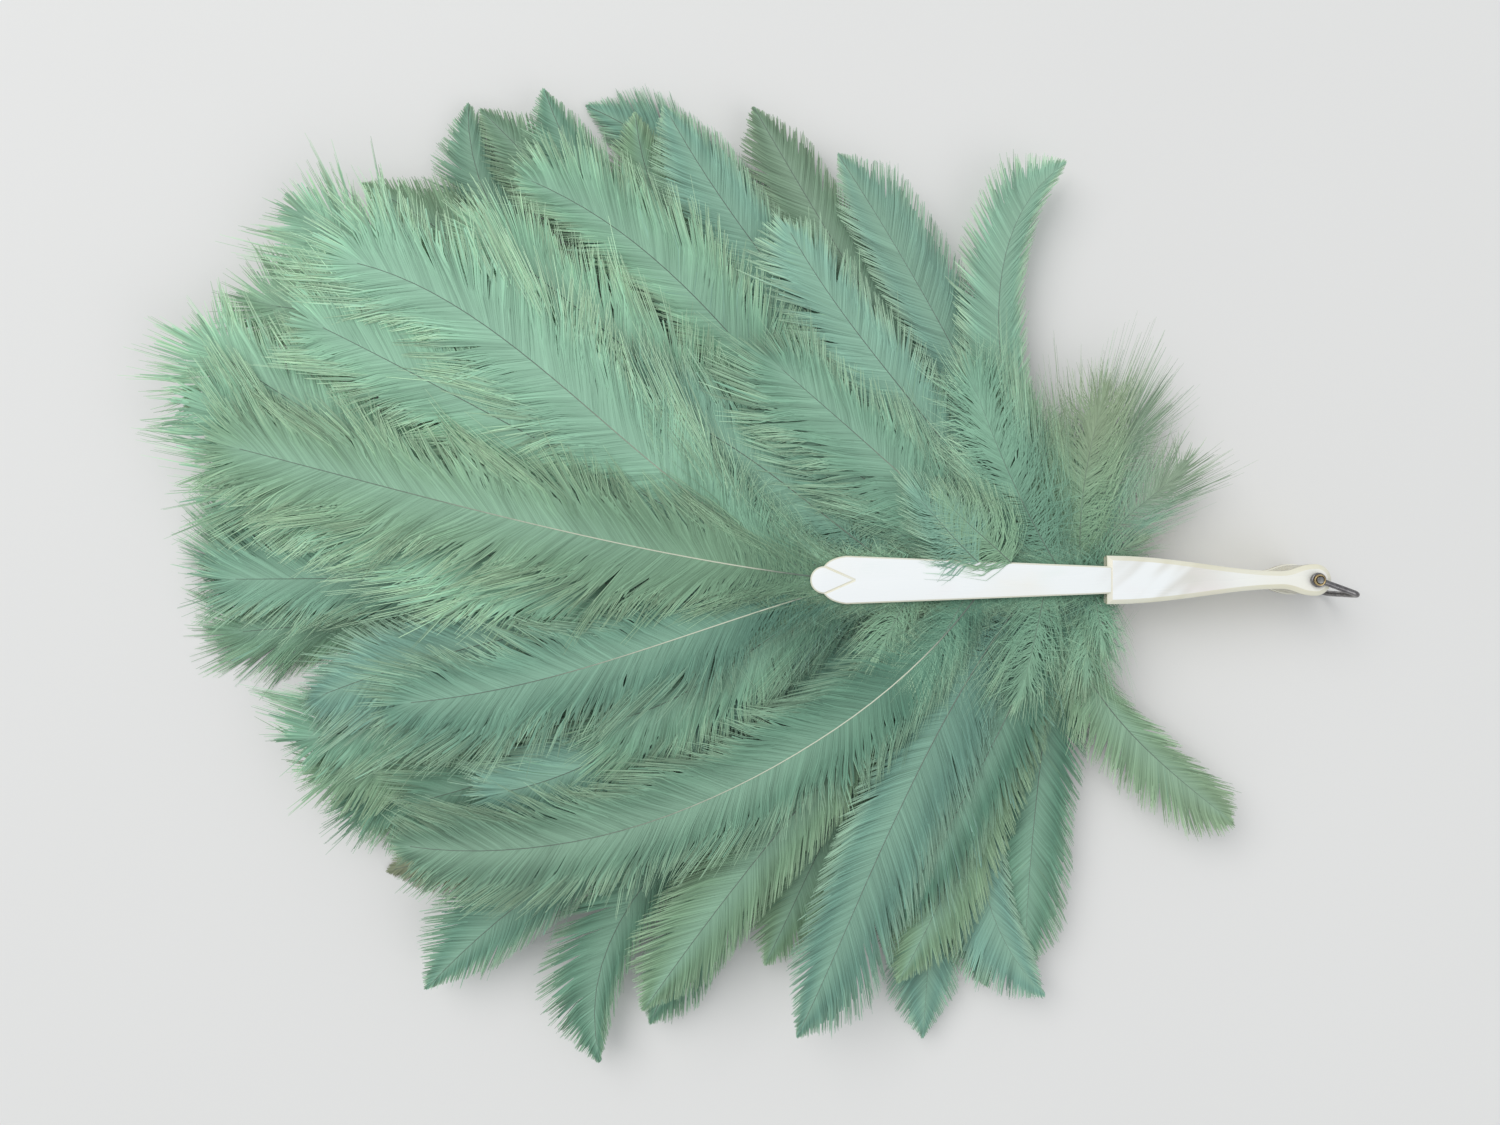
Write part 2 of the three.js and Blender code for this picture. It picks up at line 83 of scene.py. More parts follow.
def nodeTools(tree):
    # short ways to add a node, fill its shown inputs in order and take its first output
    def fill(socket, value):
        if isinstance(value, bpy.types.NodeSocket):
            tree.links.new(value, socket)
        elif value is not None:
            socket.default_value = value

    def node(kind, *values, **settings):
        made = tree.nodes.new(kind)
        for name, setting in settings.items():
            setattr(made, name, setting)
        for socket, value in zip([s for s in made.inputs if s.enabled], values):
            fill(socket, value)
        return made

    def give(kind, *values, **settings):
        return next(s for s in node(kind, *values, **settings).outputs if s.enabled)

    def calc(operation, *values):
        return give("ShaderNodeMath", *values, operation=operation)

    def times(first, second):
        return calc("MULTIPLY", first, second)

    def timesPlus(first, second, added):
        return calc("MULTIPLY_ADD", first, second, added)

    def vec(operation, *values):
        return give("ShaderNodeVectorMath", *values, operation=operation)

    def between(low, high, share):
        return timesPlus(calc("SUBTRACT", high, low), share, low)

    def ease(value, start, end):
        return give("ShaderNodeMapRange", value, start, end, 0.0, 1.0, interpolation_type="SMOOTHSTEP")

    def fade(value, start, end):
        return calc("SUBTRACT", 1.0, ease(value, start, end))

    tools = dict(fill=fill, node=node, give=give, calc=calc, times=times, timesPlus=timesPlus)
    return SimpleNamespace(**tools, vec=vec, between=between, ease=ease, fade=fade)


def newTree(name, inputs, output):
    tree = bpy.data.node_groups.new(name, "GeometryNodeTree")
    for label, kind in inputs.items():
        tree.interface.new_socket(label, in_out="INPUT", socket_type=f"NodeSocket{kind}")
    tree.interface.new_socket(output, in_out="OUTPUT", socket_type="NodeSocketGeometry")
    return tree


# materials


def newMaterial(name):
    material = bpy.data.materials.new(name)
    material.use_nodes = True
    tree = material.node_tree
    tools = nodeTools(tree)
    shader = next(n for n in tree.nodes if n.type == "BSDF_PRINCIPLED")

    def attribute(label):
        return tools.node("ShaderNodeAttribute", attribute_name=label).outputs["Fac"]

    def blend(share, low, high, mode="MIX"):
        colours = [(*c, 1.0) if isinstance(c, tuple) else c for c in (low, high)]
        return tools.give("ShaderNodeMix", share, *colours, data_type="RGBA", blend_type=mode)

    def noise(scale, detail, stretch=(1.0, 1.0, 1.0), shift=None, turn=0.0):
        place = tools.node("ShaderNodeTexCoord").outputs["Object"]
        grain = tuple(1.0 / part for part in stretch)
        place = tools.give("ShaderNodeMapping", place, None, (0.0, 0.0, turn), grain, vector_type="TEXTURE")
        if shift is None:
            return tools.give("ShaderNodeTexNoise", place, scale, detail)
        return tools.give("ShaderNodeTexNoise", place, shift, scale, detail, noise_dimensions="4D")

    def feed(socket, value):
        tools.fill(shader.inputs[socket], value)

    def bump(height, strength, distance):
        made = tools.node("ShaderNodeBump")
        made.inputs["Strength"].default_value = strength
        made.inputs["Distance"].default_value = distance
        tree.links.new(height, made.inputs["Height"])
        tree.links.new(made.outputs["Normal"], shader.inputs["Normal"])

    parts = dict(vars(tools), attribute=attribute, blend=blend, noise=noise, feed=feed, bump=bump)
    return material, SimpleNamespace(**parts)


vaneLook = {
    "shade": (0.105, 0.23, 0.16),  # grey teal plumes
    "mint": (0.325, 0.575, 0.392),  # bright plumes
    "sheet": (0.287, 0.475, 0.352),  # smooth part beside the shaft
    "fringe": (0.585, 0.76, 0.505),  # barb ends
    "olive": (0.29, 0.31, 0.20),  # faded tips
    "warm": (0.365, 0.51, 0.285),
    "cool": (0.265, 0.47, 0.412),
    "warmDyes": (0.6, 1.0),
    "warmShare": 0.4,
    "coolDyes": (0.4, 0.0),
    "coolShare": 0.45,
    "patchScale": 26.0,
    "patchShare": 0.8,
    "tintShare": 1.2,
    "tintShift": -0.62,
    # painted shade and dust: plumes are darker at their roots, where they crowd by the guard
    "rootShadeAndDust": -0.28,
    "tipTint": 0.03,
    "grown": (0.08, 0.6),  # shares of a plume's length
    "faded": (0.2, 0.9),
    "nearShaft": (0.05, 0.6),  # shares of a barb's length
    "barbEnd": (0.5, 1.0),
    "spreading": (0.1, 0.8),
    "fringeShare": 0.25,
    "fringeTint": 0.35,
    "nearSpread": 0.2,  # how far barbs differ near the shaft, and at their ends
    "endSpread": 0.5,
    "roughness": 0.72,
    "roughnessSpread": 0.16,
    "sheen": 0.25,
    "sheenTint": (0.6, 0.9, 0.7),
    "specular": 0.15,
}


def vaneMaterial():
    look = vaneLook
    material, m = newMaterial("plumeVane")
    tone = m.attribute("tone")
    barb = m.attribute("barbT")
    patch = m.noise(look["patchScale"], 2.0)
    patch = m.timesPlus(patch, look["patchShare"], look["tintShift"])
    tint = m.timesPlus(m.attribute("tint"), look["tintShare"], patch)
    # painted shade and dust: each plume's colour darkens towards its root
    grown = m.ease(m.attribute("along"), *look["grown"])
    tint = m.calc("ADD", tint, m.between(look["rootShadeAndDust"], look["tipTint"], grown))
    colour = m.blend(m.calc("MINIMUM", m.calc("MAXIMUM", tint, 0.0), 1.0), look["shade"], look["mint"])
    dye = m.attribute("dye")  # each plume took the dye a little differently
    warm = m.times(m.ease(dye, *look["warmDyes"]), look["warmShare"])
    colour = m.blend(warm, colour, look["warm"])
    cool = m.times(m.ease(dye, *look["coolDyes"]), look["coolShare"])
    colour = m.blend(cool, colour, look["cool"])
    nearShaft = m.fade(barb, *look["nearShaft"])
    colour = m.blend(m.times(nearShaft, m.attribute("sheet")), colour, look["sheet"])
    fringe = m.timesPlus(tint, look["fringeTint"], look["fringeShare"])
    colour = m.blend(m.times(m.ease(barb, *look["barbEnd"]), fringe), colour, look["fringe"])
    faded = m.times(m.attribute("olive"), m.ease(m.attribute("along"), *look["faded"]))
    colour = m.blend(faded, colour, look["olive"])
    spread = m.between(look["nearSpread"], look["endSpread"], m.ease(barb, *look["spreading"]))
    bright = m.timesPlus(m.calc("SUBTRACT", tone, 0.5), spread, 1.0)
    clump = m.times(m.calc("SUBTRACT", m.attribute("clumpTone"), 0.5), spread)
    bright = m.calc("ADD", clump, bright)
    colour = m.blend(1.0, colour, m.give("ShaderNodeCombineColor", bright, bright, bright), "MULTIPLY")
    m.feed("Base Color", colour)
    smoothest = look["roughness"] - 0.5 * look["roughnessSpread"]
    m.feed("Roughness", m.timesPlus(tone, look["roughnessSpread"], smoothest))
    m.feed("Sheen Weight", look["sheen"])
    m.feed("Sheen Tint", (*look["sheenTint"], 1.0))
    m.feed("Specular IOR Level", look["specular"])
    return material


shaftLook = {
    "dark": (0.12, 0.16, 0.13),
    "cream": (0.64, 0.66, 0.52),
    "paleFrom": (0.04, 0.22),  # shares of a plume's length
    "paleTo": (0.3, 0.85),
    "grainScale": 900.0,
    "grainShare": 0.3,
    "grainStrength": 0.2,
    "grainDepth": 0.05 * mm,
    "roughness": 0.42,
    "roughnessSpread": 0.2,
}


def shaftMaterial():
    look = shaftLook
    material, m = newMaterial("plumeShaft")
    grain = m.noise(look["grainScale"], 2.0)
    along = m.attribute("along")
    shown = m.times(m.ease(along, *look["paleFrom"]), m.fade(along, *look["paleTo"]))
    pale = m.times(m.attribute("pale"), shown)
    pale = m.timesPlus(m.calc("SUBTRACT", grain, 0.5), look["grainShare"], pale)
    m.feed("Base Color", m.blend(m.ease(pale, 0.0, 1.0), look["dark"], look["cream"]))
    smoothest = look["roughness"] - 0.5 * look["roughnessSpread"]
    m.feed("Roughness", m.timesPlus(grain, look["roughnessSpread"], smoothest))
    m.bump(grain, look["grainStrength"], look["grainDepth"])
    return material


pearlLook = {
    "white": (0.89, 0.915, 0.915),
    "cream": (0.86, 0.82, 0.70),
    "bevel": (0.78, 0.72, 0.52),
    "edge": (0.58, 0.51, 0.30),
    # the next colour is painted shade, laid in slanting streaks over the gorge
    "shade": (0.66, 0.64, 0.58),
    "pink": (0.88, 0.78, 0.78),
    "green": (0.76, 0.86, 0.80),
    "cloudScale": 34.0,
    "cloudGrain": (0.5, 1.6, 1.0),
    "lineScale": 120.0,
    "lineGrain": (0.25, 2.4, 1.0),
    "hueScale": 55.0,
    "hueGrain": (0.6, 1.2, 1.0),
    "hueShare": 0.45,
    "pinkHues": (0.55, 0.8),
    "greenHues": (0.25, 0.45),
    "creamClouds": (0.45, 0.75),
    "creamShare": 0.6,
    "head": (4.0, 52.0),  # mm from the rivet
    "headClouds": 0.5,
    "headCream": 0.35,
    "gorgeStart": (22.0, 44.0),
    "gorgeEnd": (58.0, 78.0),
    "streakShadeScale": 95.0,
    "streakShadeGrain": (1.0, 0.16, 1.0),
    "streakShadeTurn": -0.85,
    "streakShadeCut": (0.5, 0.64),
    "streakShadeShare": 0.75,
    "bevelFacing": (0.84, 0.99),
    "bevelLines": 0.9,
    "bevelShare": 0.15,
    "wallFacing": (0.3, 0.78),
    "wallLines": 0.6,
    "wallShare": 0.25,
    "roughness": 0.16,
    "roughLines": 0.22,
    "coat": 0.35,
    "coatRoughness": 0.12,
    "filmThickness": 420.0,  # nm
    "filmIndex": 1.42,
    "reliefLines": 0.6,
    "reliefStrength": 0.12,
    "reliefDepth": 0.12 * mm,
}


def pearlMaterial():
    look = pearlLook
    material, m = newMaterial("pearlPlate")
    plate = m.attribute("plate")
    place = m.node("ShaderNodeTexCoord").outputs["Object"]
    reach = m.times(m.give("ShaderNodeSeparateXYZ", place), -1000.0)  # mm from the rivet when closed
    cloud = m.noise(look["cloudScale"], 4.0, look["cloudGrain"], plate)
    lines = m.noise(look["lineScale"], 3.0, look["lineGrain"], plate)
    hue = m.noise(look["hueScale"], 2.0, look["hueGrain"], m.calc("ADD", plate, 4.0))
    creamy = m.times(m.ease(cloud, *look["creamClouds"]), look["creamShare"])
    headCream = m.timesPlus(cloud, look["headClouds"], look["headCream"])
    headCream = m.times(m.fade(reach, *look["head"]), headCream)
    creamy = m.calc("MAXIMUM", creamy, headCream)
    colour = m.blend(creamy, look["white"], look["cream"])
    # painted shade: slanting grey-beige streaks over the gorge, as beside glossy streaks
    gorge = m.times(m.ease(reach, *look["gorgeStart"]), m.fade(reach, *look["gorgeEnd"]))
    apart = m.calc("ADD", plate, 2.0)
    streakShade = m.noise(look["streakShadeScale"], 2.0, look["streakShadeGrain"], apart, look["streakShadeTurn"])
    streakShaded = m.times(gorge, look["streakShadeShare"])
    streakShade = m.times(m.ease(streakShade, *look["streakShadeCut"]), streakShaded)
    colour = m.blend(streakShade, colour, look["shade"])
    pinkish = m.times(m.ease(hue, *look["pinkHues"]), look["hueShare"])
    colour = m.blend(pinkish, colour, look["pink"])
    greenish = m.times(m.fade(hue, *look["greenHues"]), look["hueShare"])
    colour = m.blend(greenish, colour, look["green"])
    # cream on the bevels, darker on the walls
    facing = m.node("ShaderNodeSeparateXYZ", m.node("ShaderNodeNewGeometry").outputs["True Normal"]).outputs["Z"]
    facing = m.calc("ABSOLUTE", facing)
    for part, tint in (("bevel", look["bevel"]), ("wall", look["edge"])):
        cover = m.timesPlus(lines, look[f"{part}Lines"], look[f"{part}Share"])
        cover = m.times(m.fade(facing, *look[f"{part}Facing"]), cover)
        colour = m.blend(cover, colour, tint)
    m.feed("Base Color", colour)
    m.feed("Roughness", m.timesPlus(lines, look["roughLines"], look["roughness"]))
    m.feed("Coat Weight", look["coat"])
    m.feed("Coat Roughness", look["coatRoughness"])
    m.feed("Thin Film Thickness", look["filmThickness"])
    m.feed("Thin Film IOR", look["filmIndex"])
    relief = m.timesPlus(lines, look["reliefLines"], cloud)
    m.bump(relief, look["reliefStrength"], look["reliefDepth"])
    return material


metalLook = {
    "stainScale": 420.0,
    "stainCut": (0.38, 0.66),
    "stainRoughness": 0.25,
    "brushScale": 1600.0,
    "brushGrain": (0.3, 1.0, 1.0),
    "scratchDepth": 0.04 * mm,
}


def metalMaterial(name, clean, dull, roughness, scratch):
    look = metalLook
    material, m = newMaterial(name)
    stain = m.noise(look["stainScale"], 4.0)
    brush = m.noise(look["brushScale"], 2.0, look["brushGrain"])
    m.feed("Base Color", m.blend(m.ease(stain, *look["stainCut"]), clean, dull))
    m.feed("Roughness", m.timesPlus(stain, look["stainRoughness"], roughness))
    m.feed("Metallic", 1.0)
    m.bump(brush, scratch, look["scratchDepth"])
    return material


finishes = {
    "vane": vaneMaterial(),
    "shaft": shaftMaterial(),
    "pearl": pearlMaterial(),
    "brass": metalMaterial("wornBrass", (0.66, 0.50, 0.25), (0.36, 0.27, 0.14), 0.22, 0.25),
    "steel": metalMaterial("rivetSteel", (0.34, 0.34, 0.33), (0.16, 0.15, 0.15), 0.25, 0.3),
    "bail": metalMaterial("bailSteel", (0.26, 0.25, 0.25), (0.16, 0.15, 0.155), 0.14, 0.3),
}
print("materials made")


def treeMesh(name, mesh, tree, inputs, keep):
    # runs a node tree on a mesh and returns the plain mesh that it makes
    source = newObject(f"{name}_source", mesh)
    modifier = source.modifiers.new("form", "NODES")
    modifier.node_group = tree
    for item in tree.interface.items_tree:
        if item.in_out == "INPUT" and item.name in inputs:
            modifier[item.identifier] = inputs[item.name]
    graph = bpy.context.evaluated_depsgraph_get()
    made = bpy.data.meshes.new_from_object(source.evaluated_get(graph))
    source.modifiers.remove(modifier)
    bpy.data.objects.remove(source)
    made.name = name
    for label in [a.name for a in made.attributes]:
        if label not in keep and not made.attributes[label].is_internal and not made.attributes[label].is_required:
            made.attributes.remove(made.attributes[label])
    return made


# plates, pin and washers: the CAD forms with their edges eased

hardPieces = {
    "pearlEase": 0.14 * mm,
    "stickEase": 0.07 * mm,
    "metalEase": 0.12 * mm,
    "easeAngle": 24.0,  # edges that turn further are eased
    "easeSteps": 2,
    "sharpAngle": 32.0,
    "flatAngle": 0.5,
    "mergeWithin": 0.002 * mm,
    "plateShift": 1.7,  # moves the pearl's pattern, and its painted streak shade, on from plate to plate
}


def hardPiece(node, body, mesh, finish):
    mesh.materials.clear()
    mesh.materials.append(finishes[finish])
    mesh.polygons.foreach_set("use_smooth", [True] * len(mesh.polygons))
    mesh.set_sharp_from_angle(angle=math.radians(hardPieces["sharpAngle"]))
    piece = newObject(f"{node}_finished", mesh)
    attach(piece, body)
    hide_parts(node)


def easedCopy(node, body, finish, ease, plate=0.0):
    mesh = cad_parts[node].data.copy()
    mesh.name = f"{node}_eased"
    form = bmesh.new()
    form.from_mesh(mesh)
    bmesh.ops.remove_doubles(form, verts=form.verts, dist=hardPieces["mergeWithin"])
    flat, turned = math.radians(hardPieces["flatAngle"]), math.radians(hardPieces["easeAngle"])
    bmesh.ops.dissolve_limit(form, angle_limit=flat, verts=form.verts, edges=form.edges)
    sharp = [e for e in form.edges if e.is_manifold and e.calc_face_angle(0.0) > turned]
    bmesh.ops.bevel(form, geom=sharp, offset=ease, segments=hardPieces["easeSteps"], profile=0.5,
                    affect="EDGES", clamp_overlap=True)
    bmesh.ops.triangulate(form, faces=[f for f in form.faces if len(f.verts) > 4])
    form.to_mesh(mesh)
    form.free()
    mesh.attributes.new("plate", "FLOAT", "POINT").data.foreach_set("value", [plate] * len(mesh.vertices))
    hardPiece(node, body, mesh, finish)


for number, stickName in enumerate(stickNames):
    isGuard = stickName.endswith("guard")
    easeWidth = hardPieces["pearlEase" if isGuard else "stickEase"]
    easedCopy(stickName, stickName, "pearl", easeWidth, hardPieces["plateShift"] * number)
easedCopy("rivet_pin", "rivet", "steel", hardPieces["metalEase"])
for washer in ("front_washer", "back_washer"):
    easedCopy(washer, "rivet", "brass", hardPieces["metalEase"])
print("plates, pin and washers eased")


# bail: a round wire with an eye at each end

bail = {
    "angle": -20.0,
    "start": 2.14 * mm,
    "bow": 14.95 * mm,
    "lower": 1.65 * mm,
    "upper": 25.1 * mm,
    "bend": 3 * mm,
    "bendSteps": 10,
    "eyeHole": 1.05 * mm,
    "eyeRadius": 2.5 * mm,
    "eyeFloors": (1.1 * mm, 24.15 * mm),
    "eyeThickness": 1.5 * mm,
    "eyeRound": 0.4 * mm,
    "eyeRoundSteps": 4,
    "eyeSteps": 56,
}
bailWire = {"Wire radius": 1.0 * mm, "Wire sides": 20}


def wireTree():
    inputs = {"Path": "Geometry", "Wire radius": "Float", "Wire sides": "Int", "Wire material": "Material"}
    tree = newTree("bentWire", inputs, "Wire")
    k = nodeTools(tree)
    size = k.node("NodeGroupInput").outputs
    path = k.give("GeometryNodeMeshToCurve", size["Path"])
    ring = k.give("GeometryNodeCurvePrimitiveCircle", size["Wire sides"], size["Wire radius"])
    wire = k.give("GeometryNodeCurveToMesh", path, ring, None, True)
    wire = k.give("GeometryNodeRealizeInstances", wire)
    k.node("NodeGroupOutput", k.give("GeometryNodeSetMaterial", wire, None, size["Wire material"]))
    return tree


def bailPath():
    # runs out over the heads, round two bends and back
    flat = [(bail["start"], bail["lower"])]
    for height, rise in ((bail["lower"], 1), (bail["upper"], -1)):
        corner = []
        for i in range(bail["bendSteps"] + 1):
            turn = 0.5 * math.pi * i / bail["bendSteps"]
            out = bail["bow"] - bail["bend"] * (1 - math.sin(turn))
            corner.append((out, height + rise * bail["bend"] * (1 - math.cos(turn))))
        flat += corner if rise > 0 else corner[::-1]
    flat.append((bail["start"], bail["upper"]))
    angle = math.radians(bail["angle"])
    return [(out * math.cos(angle), out * math.sin(angle), up) for out, up in flat]


def addEye(form, floor):
    # a flat ring with rounded edges
    rounding, roundSteps = bail["eyeRound"], bail["eyeRoundSteps"]
    inside, outside = bail["eyeHole"] + rounding, bail["eyeRadius"] - rounding
    low, high = floor + rounding, floor + bail["eyeThickness"] - rounding
    profile = []
    for first, (out, up) in enumerate([(outside, high), (inside, high), (inside, low), (outside, low)]):
        for i in range(roundSteps + 1):
            turn = 0.5 * math.pi * (first + i / roundSteps)
            profile.append((out + rounding * math.cos(turn), up + rounding * math.sin(turn)))
    steps = bail["eyeSteps"]
    rings = []
    for j in range(steps):
        turn = 2 * math.pi * j / steps
        rings.append([form.verts.new((out * math.cos(turn), out * math.sin(turn), up)) for out, up in profile])
    for j in range(steps):
        here, after = rings[j], rings[(j + 1) % steps]
        for i in range(len(profile)):
            following = (i + 1) % len(profile)
            form.faces.new((here[i], after[i], after[following], here[following]))


points = bailPath()
route = bpy.data.meshes.new("bail_path")
route.from_pydata(points, [(i, i + 1) for i in range(len(points) - 1)], [])
bailMesh = treeMesh("bail_round", route, wireTree(), dict(bailWire, **{"Wire material": finishes["bail"]}), [])
form = bmesh.new()
form.from_mesh(bailMesh)
for floor in bail["eyeFloors"]:
    addEye(form, floor)
bmesh.ops.recalc_face_normals(form, faces=form.faces)
form.to_mesh(bailMesh)
form.free()
hardPiece("bail", "bail", bailMesh, "bail")
print("bail bent")


# plumes

# for each stick: lane, leaveAt, leave, bearing, reach, arrive, vane, tint, fluff (2 is downy), pale shaft, olive
plumage = [
    [("left", 0.97, 14, 18, 0.887, 12, 1.0, 1.0, 1.0, 0.5, 0.0),
     ("centre", 0.98, 6, 7, 0.954, 14, 0.92, 0.55, 0.9, 1.0, 0.0),
     ("right", 0.97, -15, -7.5, 0.8, -4, 0.85, 0.38, 0.8, 1.0, 0.0)],
    [("left", 0.38, 46, 22, 0.513, 40, 0.85, 0.55, 0.8, 0.5, 0.0),
     ("centre", 0.91, -12, 9.5, 0.982, 42, 0.92, 0.9, 0.9, 0.3, 0.0),
     ("right", 0.45, -55, -16, 0.823, 8, 0.85, 0.35, 0.6, 1.0, 0.15)],
    [("left", 0.32, 40, 21, 0.505, 75, 0.77, 0.5, 0.7, 0.3, 0.0),
     ("centre", 0.86, -14, 12, 0.997, 32, 0.96, 1.0, 1.0, 0.3, 0.05),
     ("right", 0.26, -50, -41, 0.6, -62, 0.77, 0.25, 0.3, 0.1, 0.0)],
    [("left", 0.75, 34, 14, 0.667, -2, 0.77, 0.7, 1.0, 0.2, 0.0),
     ("centre", 0.95, -8, -6.7, 0.879, -22, 0.85, 0.4, 0.6, 0.2, 0.0),
     ("right", 0.14, -68, -40, 0.492, -58, 0.73, 0.25, 0.4, 0.1, 0.0)],
    [("left", 0.75, 36, 22.5, 0.792, 36, 0.85, 0.95, 0.8, 0.2, 0.0),
     ("centre", 0.91, 22, 20, 0.949, 36, 0.96, 1.0, 0.7, 0.1, 0.05),
     ("right", 0.37, -46, -32.5, 0.695, -55, 0.73, 0.25, 0.3, 0.1, 0.0)],
    [("left", 0.26, 62, 34, 0.556, 60, 0.69, 0.75, 0.6, 0.1, 0.0),
     ("centre", 0.64, 48, 27, 0.777, 22, 0.77, 0.85, 0.6, 0.1, 0.0),
     ("right", 0.15, -65, -44.5, 0.508, -58, 0.69, 0.2, 0.35, 0.1, 0.0)],
    [("left", 0.12, 62, 60.5, 0.428, 148, 0.52, 0.75, 0.4, 0.1, 0.1),
     ("centre", 0.91, 18, 14.5, 0.992, 2, 0.92, 0.95, 0.8, 0.1, 0.15),
     ("right", 0.1, -75, -74, 0.226, -142, 0.52, 0.35, 0.5, 0.1, 0.25)],
    [("left", 0.12, 90, 55, 0.213, 124, 0.77, 0.65, 1.9, 0.1, 0.5),
     ("centre", 0.32, 58, 36.5, 0.71, 62, 0.73, 0.6, 0.2, 0.1, 0.0),
     ("right", 0.53, -46, -25, 0.864, -48, 0.77, 0.35, 0.2, 0.1, 0.0)],
    [("left", 0.15, 68, 42.5, 0.564, 56, 0.65, 0.45, 0.2, 0.1, 0.1),
     ("centre", 0.37, -45, -34.5, 0.762, -105, 0.69, 0.35, 0.3, 0.1, 0.0),
     ("right", 0.21, -52, -58.5, 0.438, -138, 0.62, 0.25, 0.3, 0.1, 0.0)],
    [("left", 0.53, 52, 33, 0.81, 72, 0.69, 0.5, 0.2, 0.1, 0.0),
     ("centre", 0.86, 30, 23, 0.918, 28, 0.81, 0.4, 0.2, 0.1, 0.1),
     ("right", 0.1, -78, -55, 0.431, -88, 0.62, 0.25, 0.3, 0.1, 0.0)],
    [("left", 0.26, 62, 41, 0.651, 60, 0.62, 0.3, 0.2, 0.1, 0.35),
     ("centre", 0.59, 45, 30, 0.854, 45, 0.69, 0.55, 0.2, 0.1, 0.2),
     ("right", 0.37, -46, -34.5, 0.71, -66, 0.65, 0.3, 0.3, 0.1, 0.0)],
    [("left", 0.59, 46, 30, 0.867, 92, 0.65, 0.5, 0.3, 0.1, 0.1),
     ("centre", 0.28, -60, -51, 0.536, -86, 0.62, 0.25, 0.2, 0.1, 0.0),
     ("right", 0.15, -66, -53, 0.462, -104, 0.58, 0.25, 0.2, 0.1, 0.0)],
    [("left", 0.37, 52, 35.5, 0.736, 86, 0.65, 0.45, 0.3, 0.1, 0.0),
     ("centre", 0.86, 0, 1, 1.01, 5, 0.88, 0.5, 0.9, 0.1, 0.0),
     ("right", 0.8, -24, -14.5, 0.887, -10, 0.77, 0.4, 0.6, 0.1, 0.0)],
    [("left", 0.42, 50, 34, 0.779, 22, 0.65, 0.4, 0.3, 0.1, 0.0),
     ("centre", 0.91, -5, -3, 1.0, -6, 0.88, 0.45, 0.8, 0.1, 0.0),
     ("right", 0.8, -20, -18, 0.872, -12, 0.77, 0.3, 0.3, 0.1, 0.9)],
]

tufts = [  # further plumes that only fill out the look: the stick, then as above
    (0, "face", 0.36, 44, 13.6, 0.345, 50, 0.8, 0.65, 1.7, 0.1, 0.0),
    (0, "face", 0.48, 42, 13.2, 0.37, 44, 0.7, 0.65, 1.7, 0.1, 0.0),
    (1, "left", 0.16, 58, 33.4, 0.369, 72, 0.75, 0.6, 1.7, 0.1, 0.0),
    (2, "left", 0.5, 50, 20.4, 0.405, 66, 0.6, 0.6, 1.7, 0.1, 0.0),
    (3, "left", 0.12, 62, 31.6, 0.316, 82, 0.8, 0.4, 1.8, 0.1, 0.0),
    (4, "left", 0.2, 80, 32.7, 0.262, 100, 0.7, 0.6, 1.9, 0.1, 0.25),
    (3, "left", 0.08, 84, 46.5, 0.255, 106, 0.66, 0.72, 1.8, 0.1, 0.55),
    (5, "left", 0.06, 108, 50, 0.148, 128, 0.56, 0.7, 1.8, 0.1, 0.6),
    (2, "left", 0.05, 125, 16, 0.145, 150, 0.45, 0.5, 2.0, 0.1, 0.4),
    (0, "right", 0.95, 20, 14.3, 0.9, 26, 0.9, 0.85, 1.0, 0.1, 0.0),
    (9, "right", 0.42, -46, -35.8, 0.593, -64, 0.75, 0.25, 0.4, 0.1, 0.0),
    (11, "right", 0.8, -40, -11.2, 0.508, -26, 0.7, 0.4, 1.0, 0.1, 0.0),
    (1, "right", 0.22, -78, -25.1, 0.292, -70, 0.7, 0.65, 1.9, 0.1, 0.1),
    (2, "right", 0.5, -62, -17.9, 0.344, -72, 0.6, 0.65, 1.9, 0.1, 0.0),
    (1, "right", 0.5, -64, -15.6, 0.37, -58, 0.65, 0.6, 1.9, 0.1, 0.0),
    (3, "right", 0.06, -92, -28.3, 0.225, -88, 0.6, 0.65, 2.0, 0.1, 0.15),
    (1, "right", 0.7, -52, -11.5, 0.397, -60, 0.6, 0.65, 1.9, 0.1, 0.0),
    (2, "right", 0.04, -100, -21.8, 0.193, -104, 0.5, 0.65, 2.0, 0.1, 0.1),
    (5, "right", 0.28, -84, -24.5, 0.29, -60, 0.7, 0.6, 1.9, 0.1, 0.1),
    (6, "right", 0.55, -60, -17, 0.36, -58, 0.7, 0.55, 1.9, 0.1, 0.1),
    (4, "right", 0.08, -96, -28, 0.22, -96, 0.6, 0.6, 2.0, 0.1, 0.15),
    (2, "right", 0.92, -24, -11.1, 0.638, -6, 0.75, 0.45, 1.0, 0.1, 0.0),
    (3, "right", 0.9, -30, -14.5, 0.738, -10, 0.8, 0.45, 0.9, 0.1, 0.0),
    (4, "right", 0.92, -20, -9, 0.895, -10, 0.8, 0.45, 0.9, 0.2, 0.0),
    (5, "right", 0.85, -34, -13.9, 0.809, -14, 0.8, 0.4, 0.8, 0.1, 0.0),
    (6, "right", 0.9, -26, -11, 0.911, -10, 0.8, 0.4, 0.9, 0.1, 0.0),
    (8, "right", 0.85, -26, -12.8, 0.896, -12, 0.8, 0.4, 0.8, 0.1, 0.0),
    (7, "centre", 0.9, 8, 5.2, 0.989, 4, 0.85, 0.75, 0.9, 0.1, 0.0),
    (10, "centre", 0.9, 2, 0, 1.0, 0, 0.85, 0.6, 0.9, 0.1, 0.0),
]

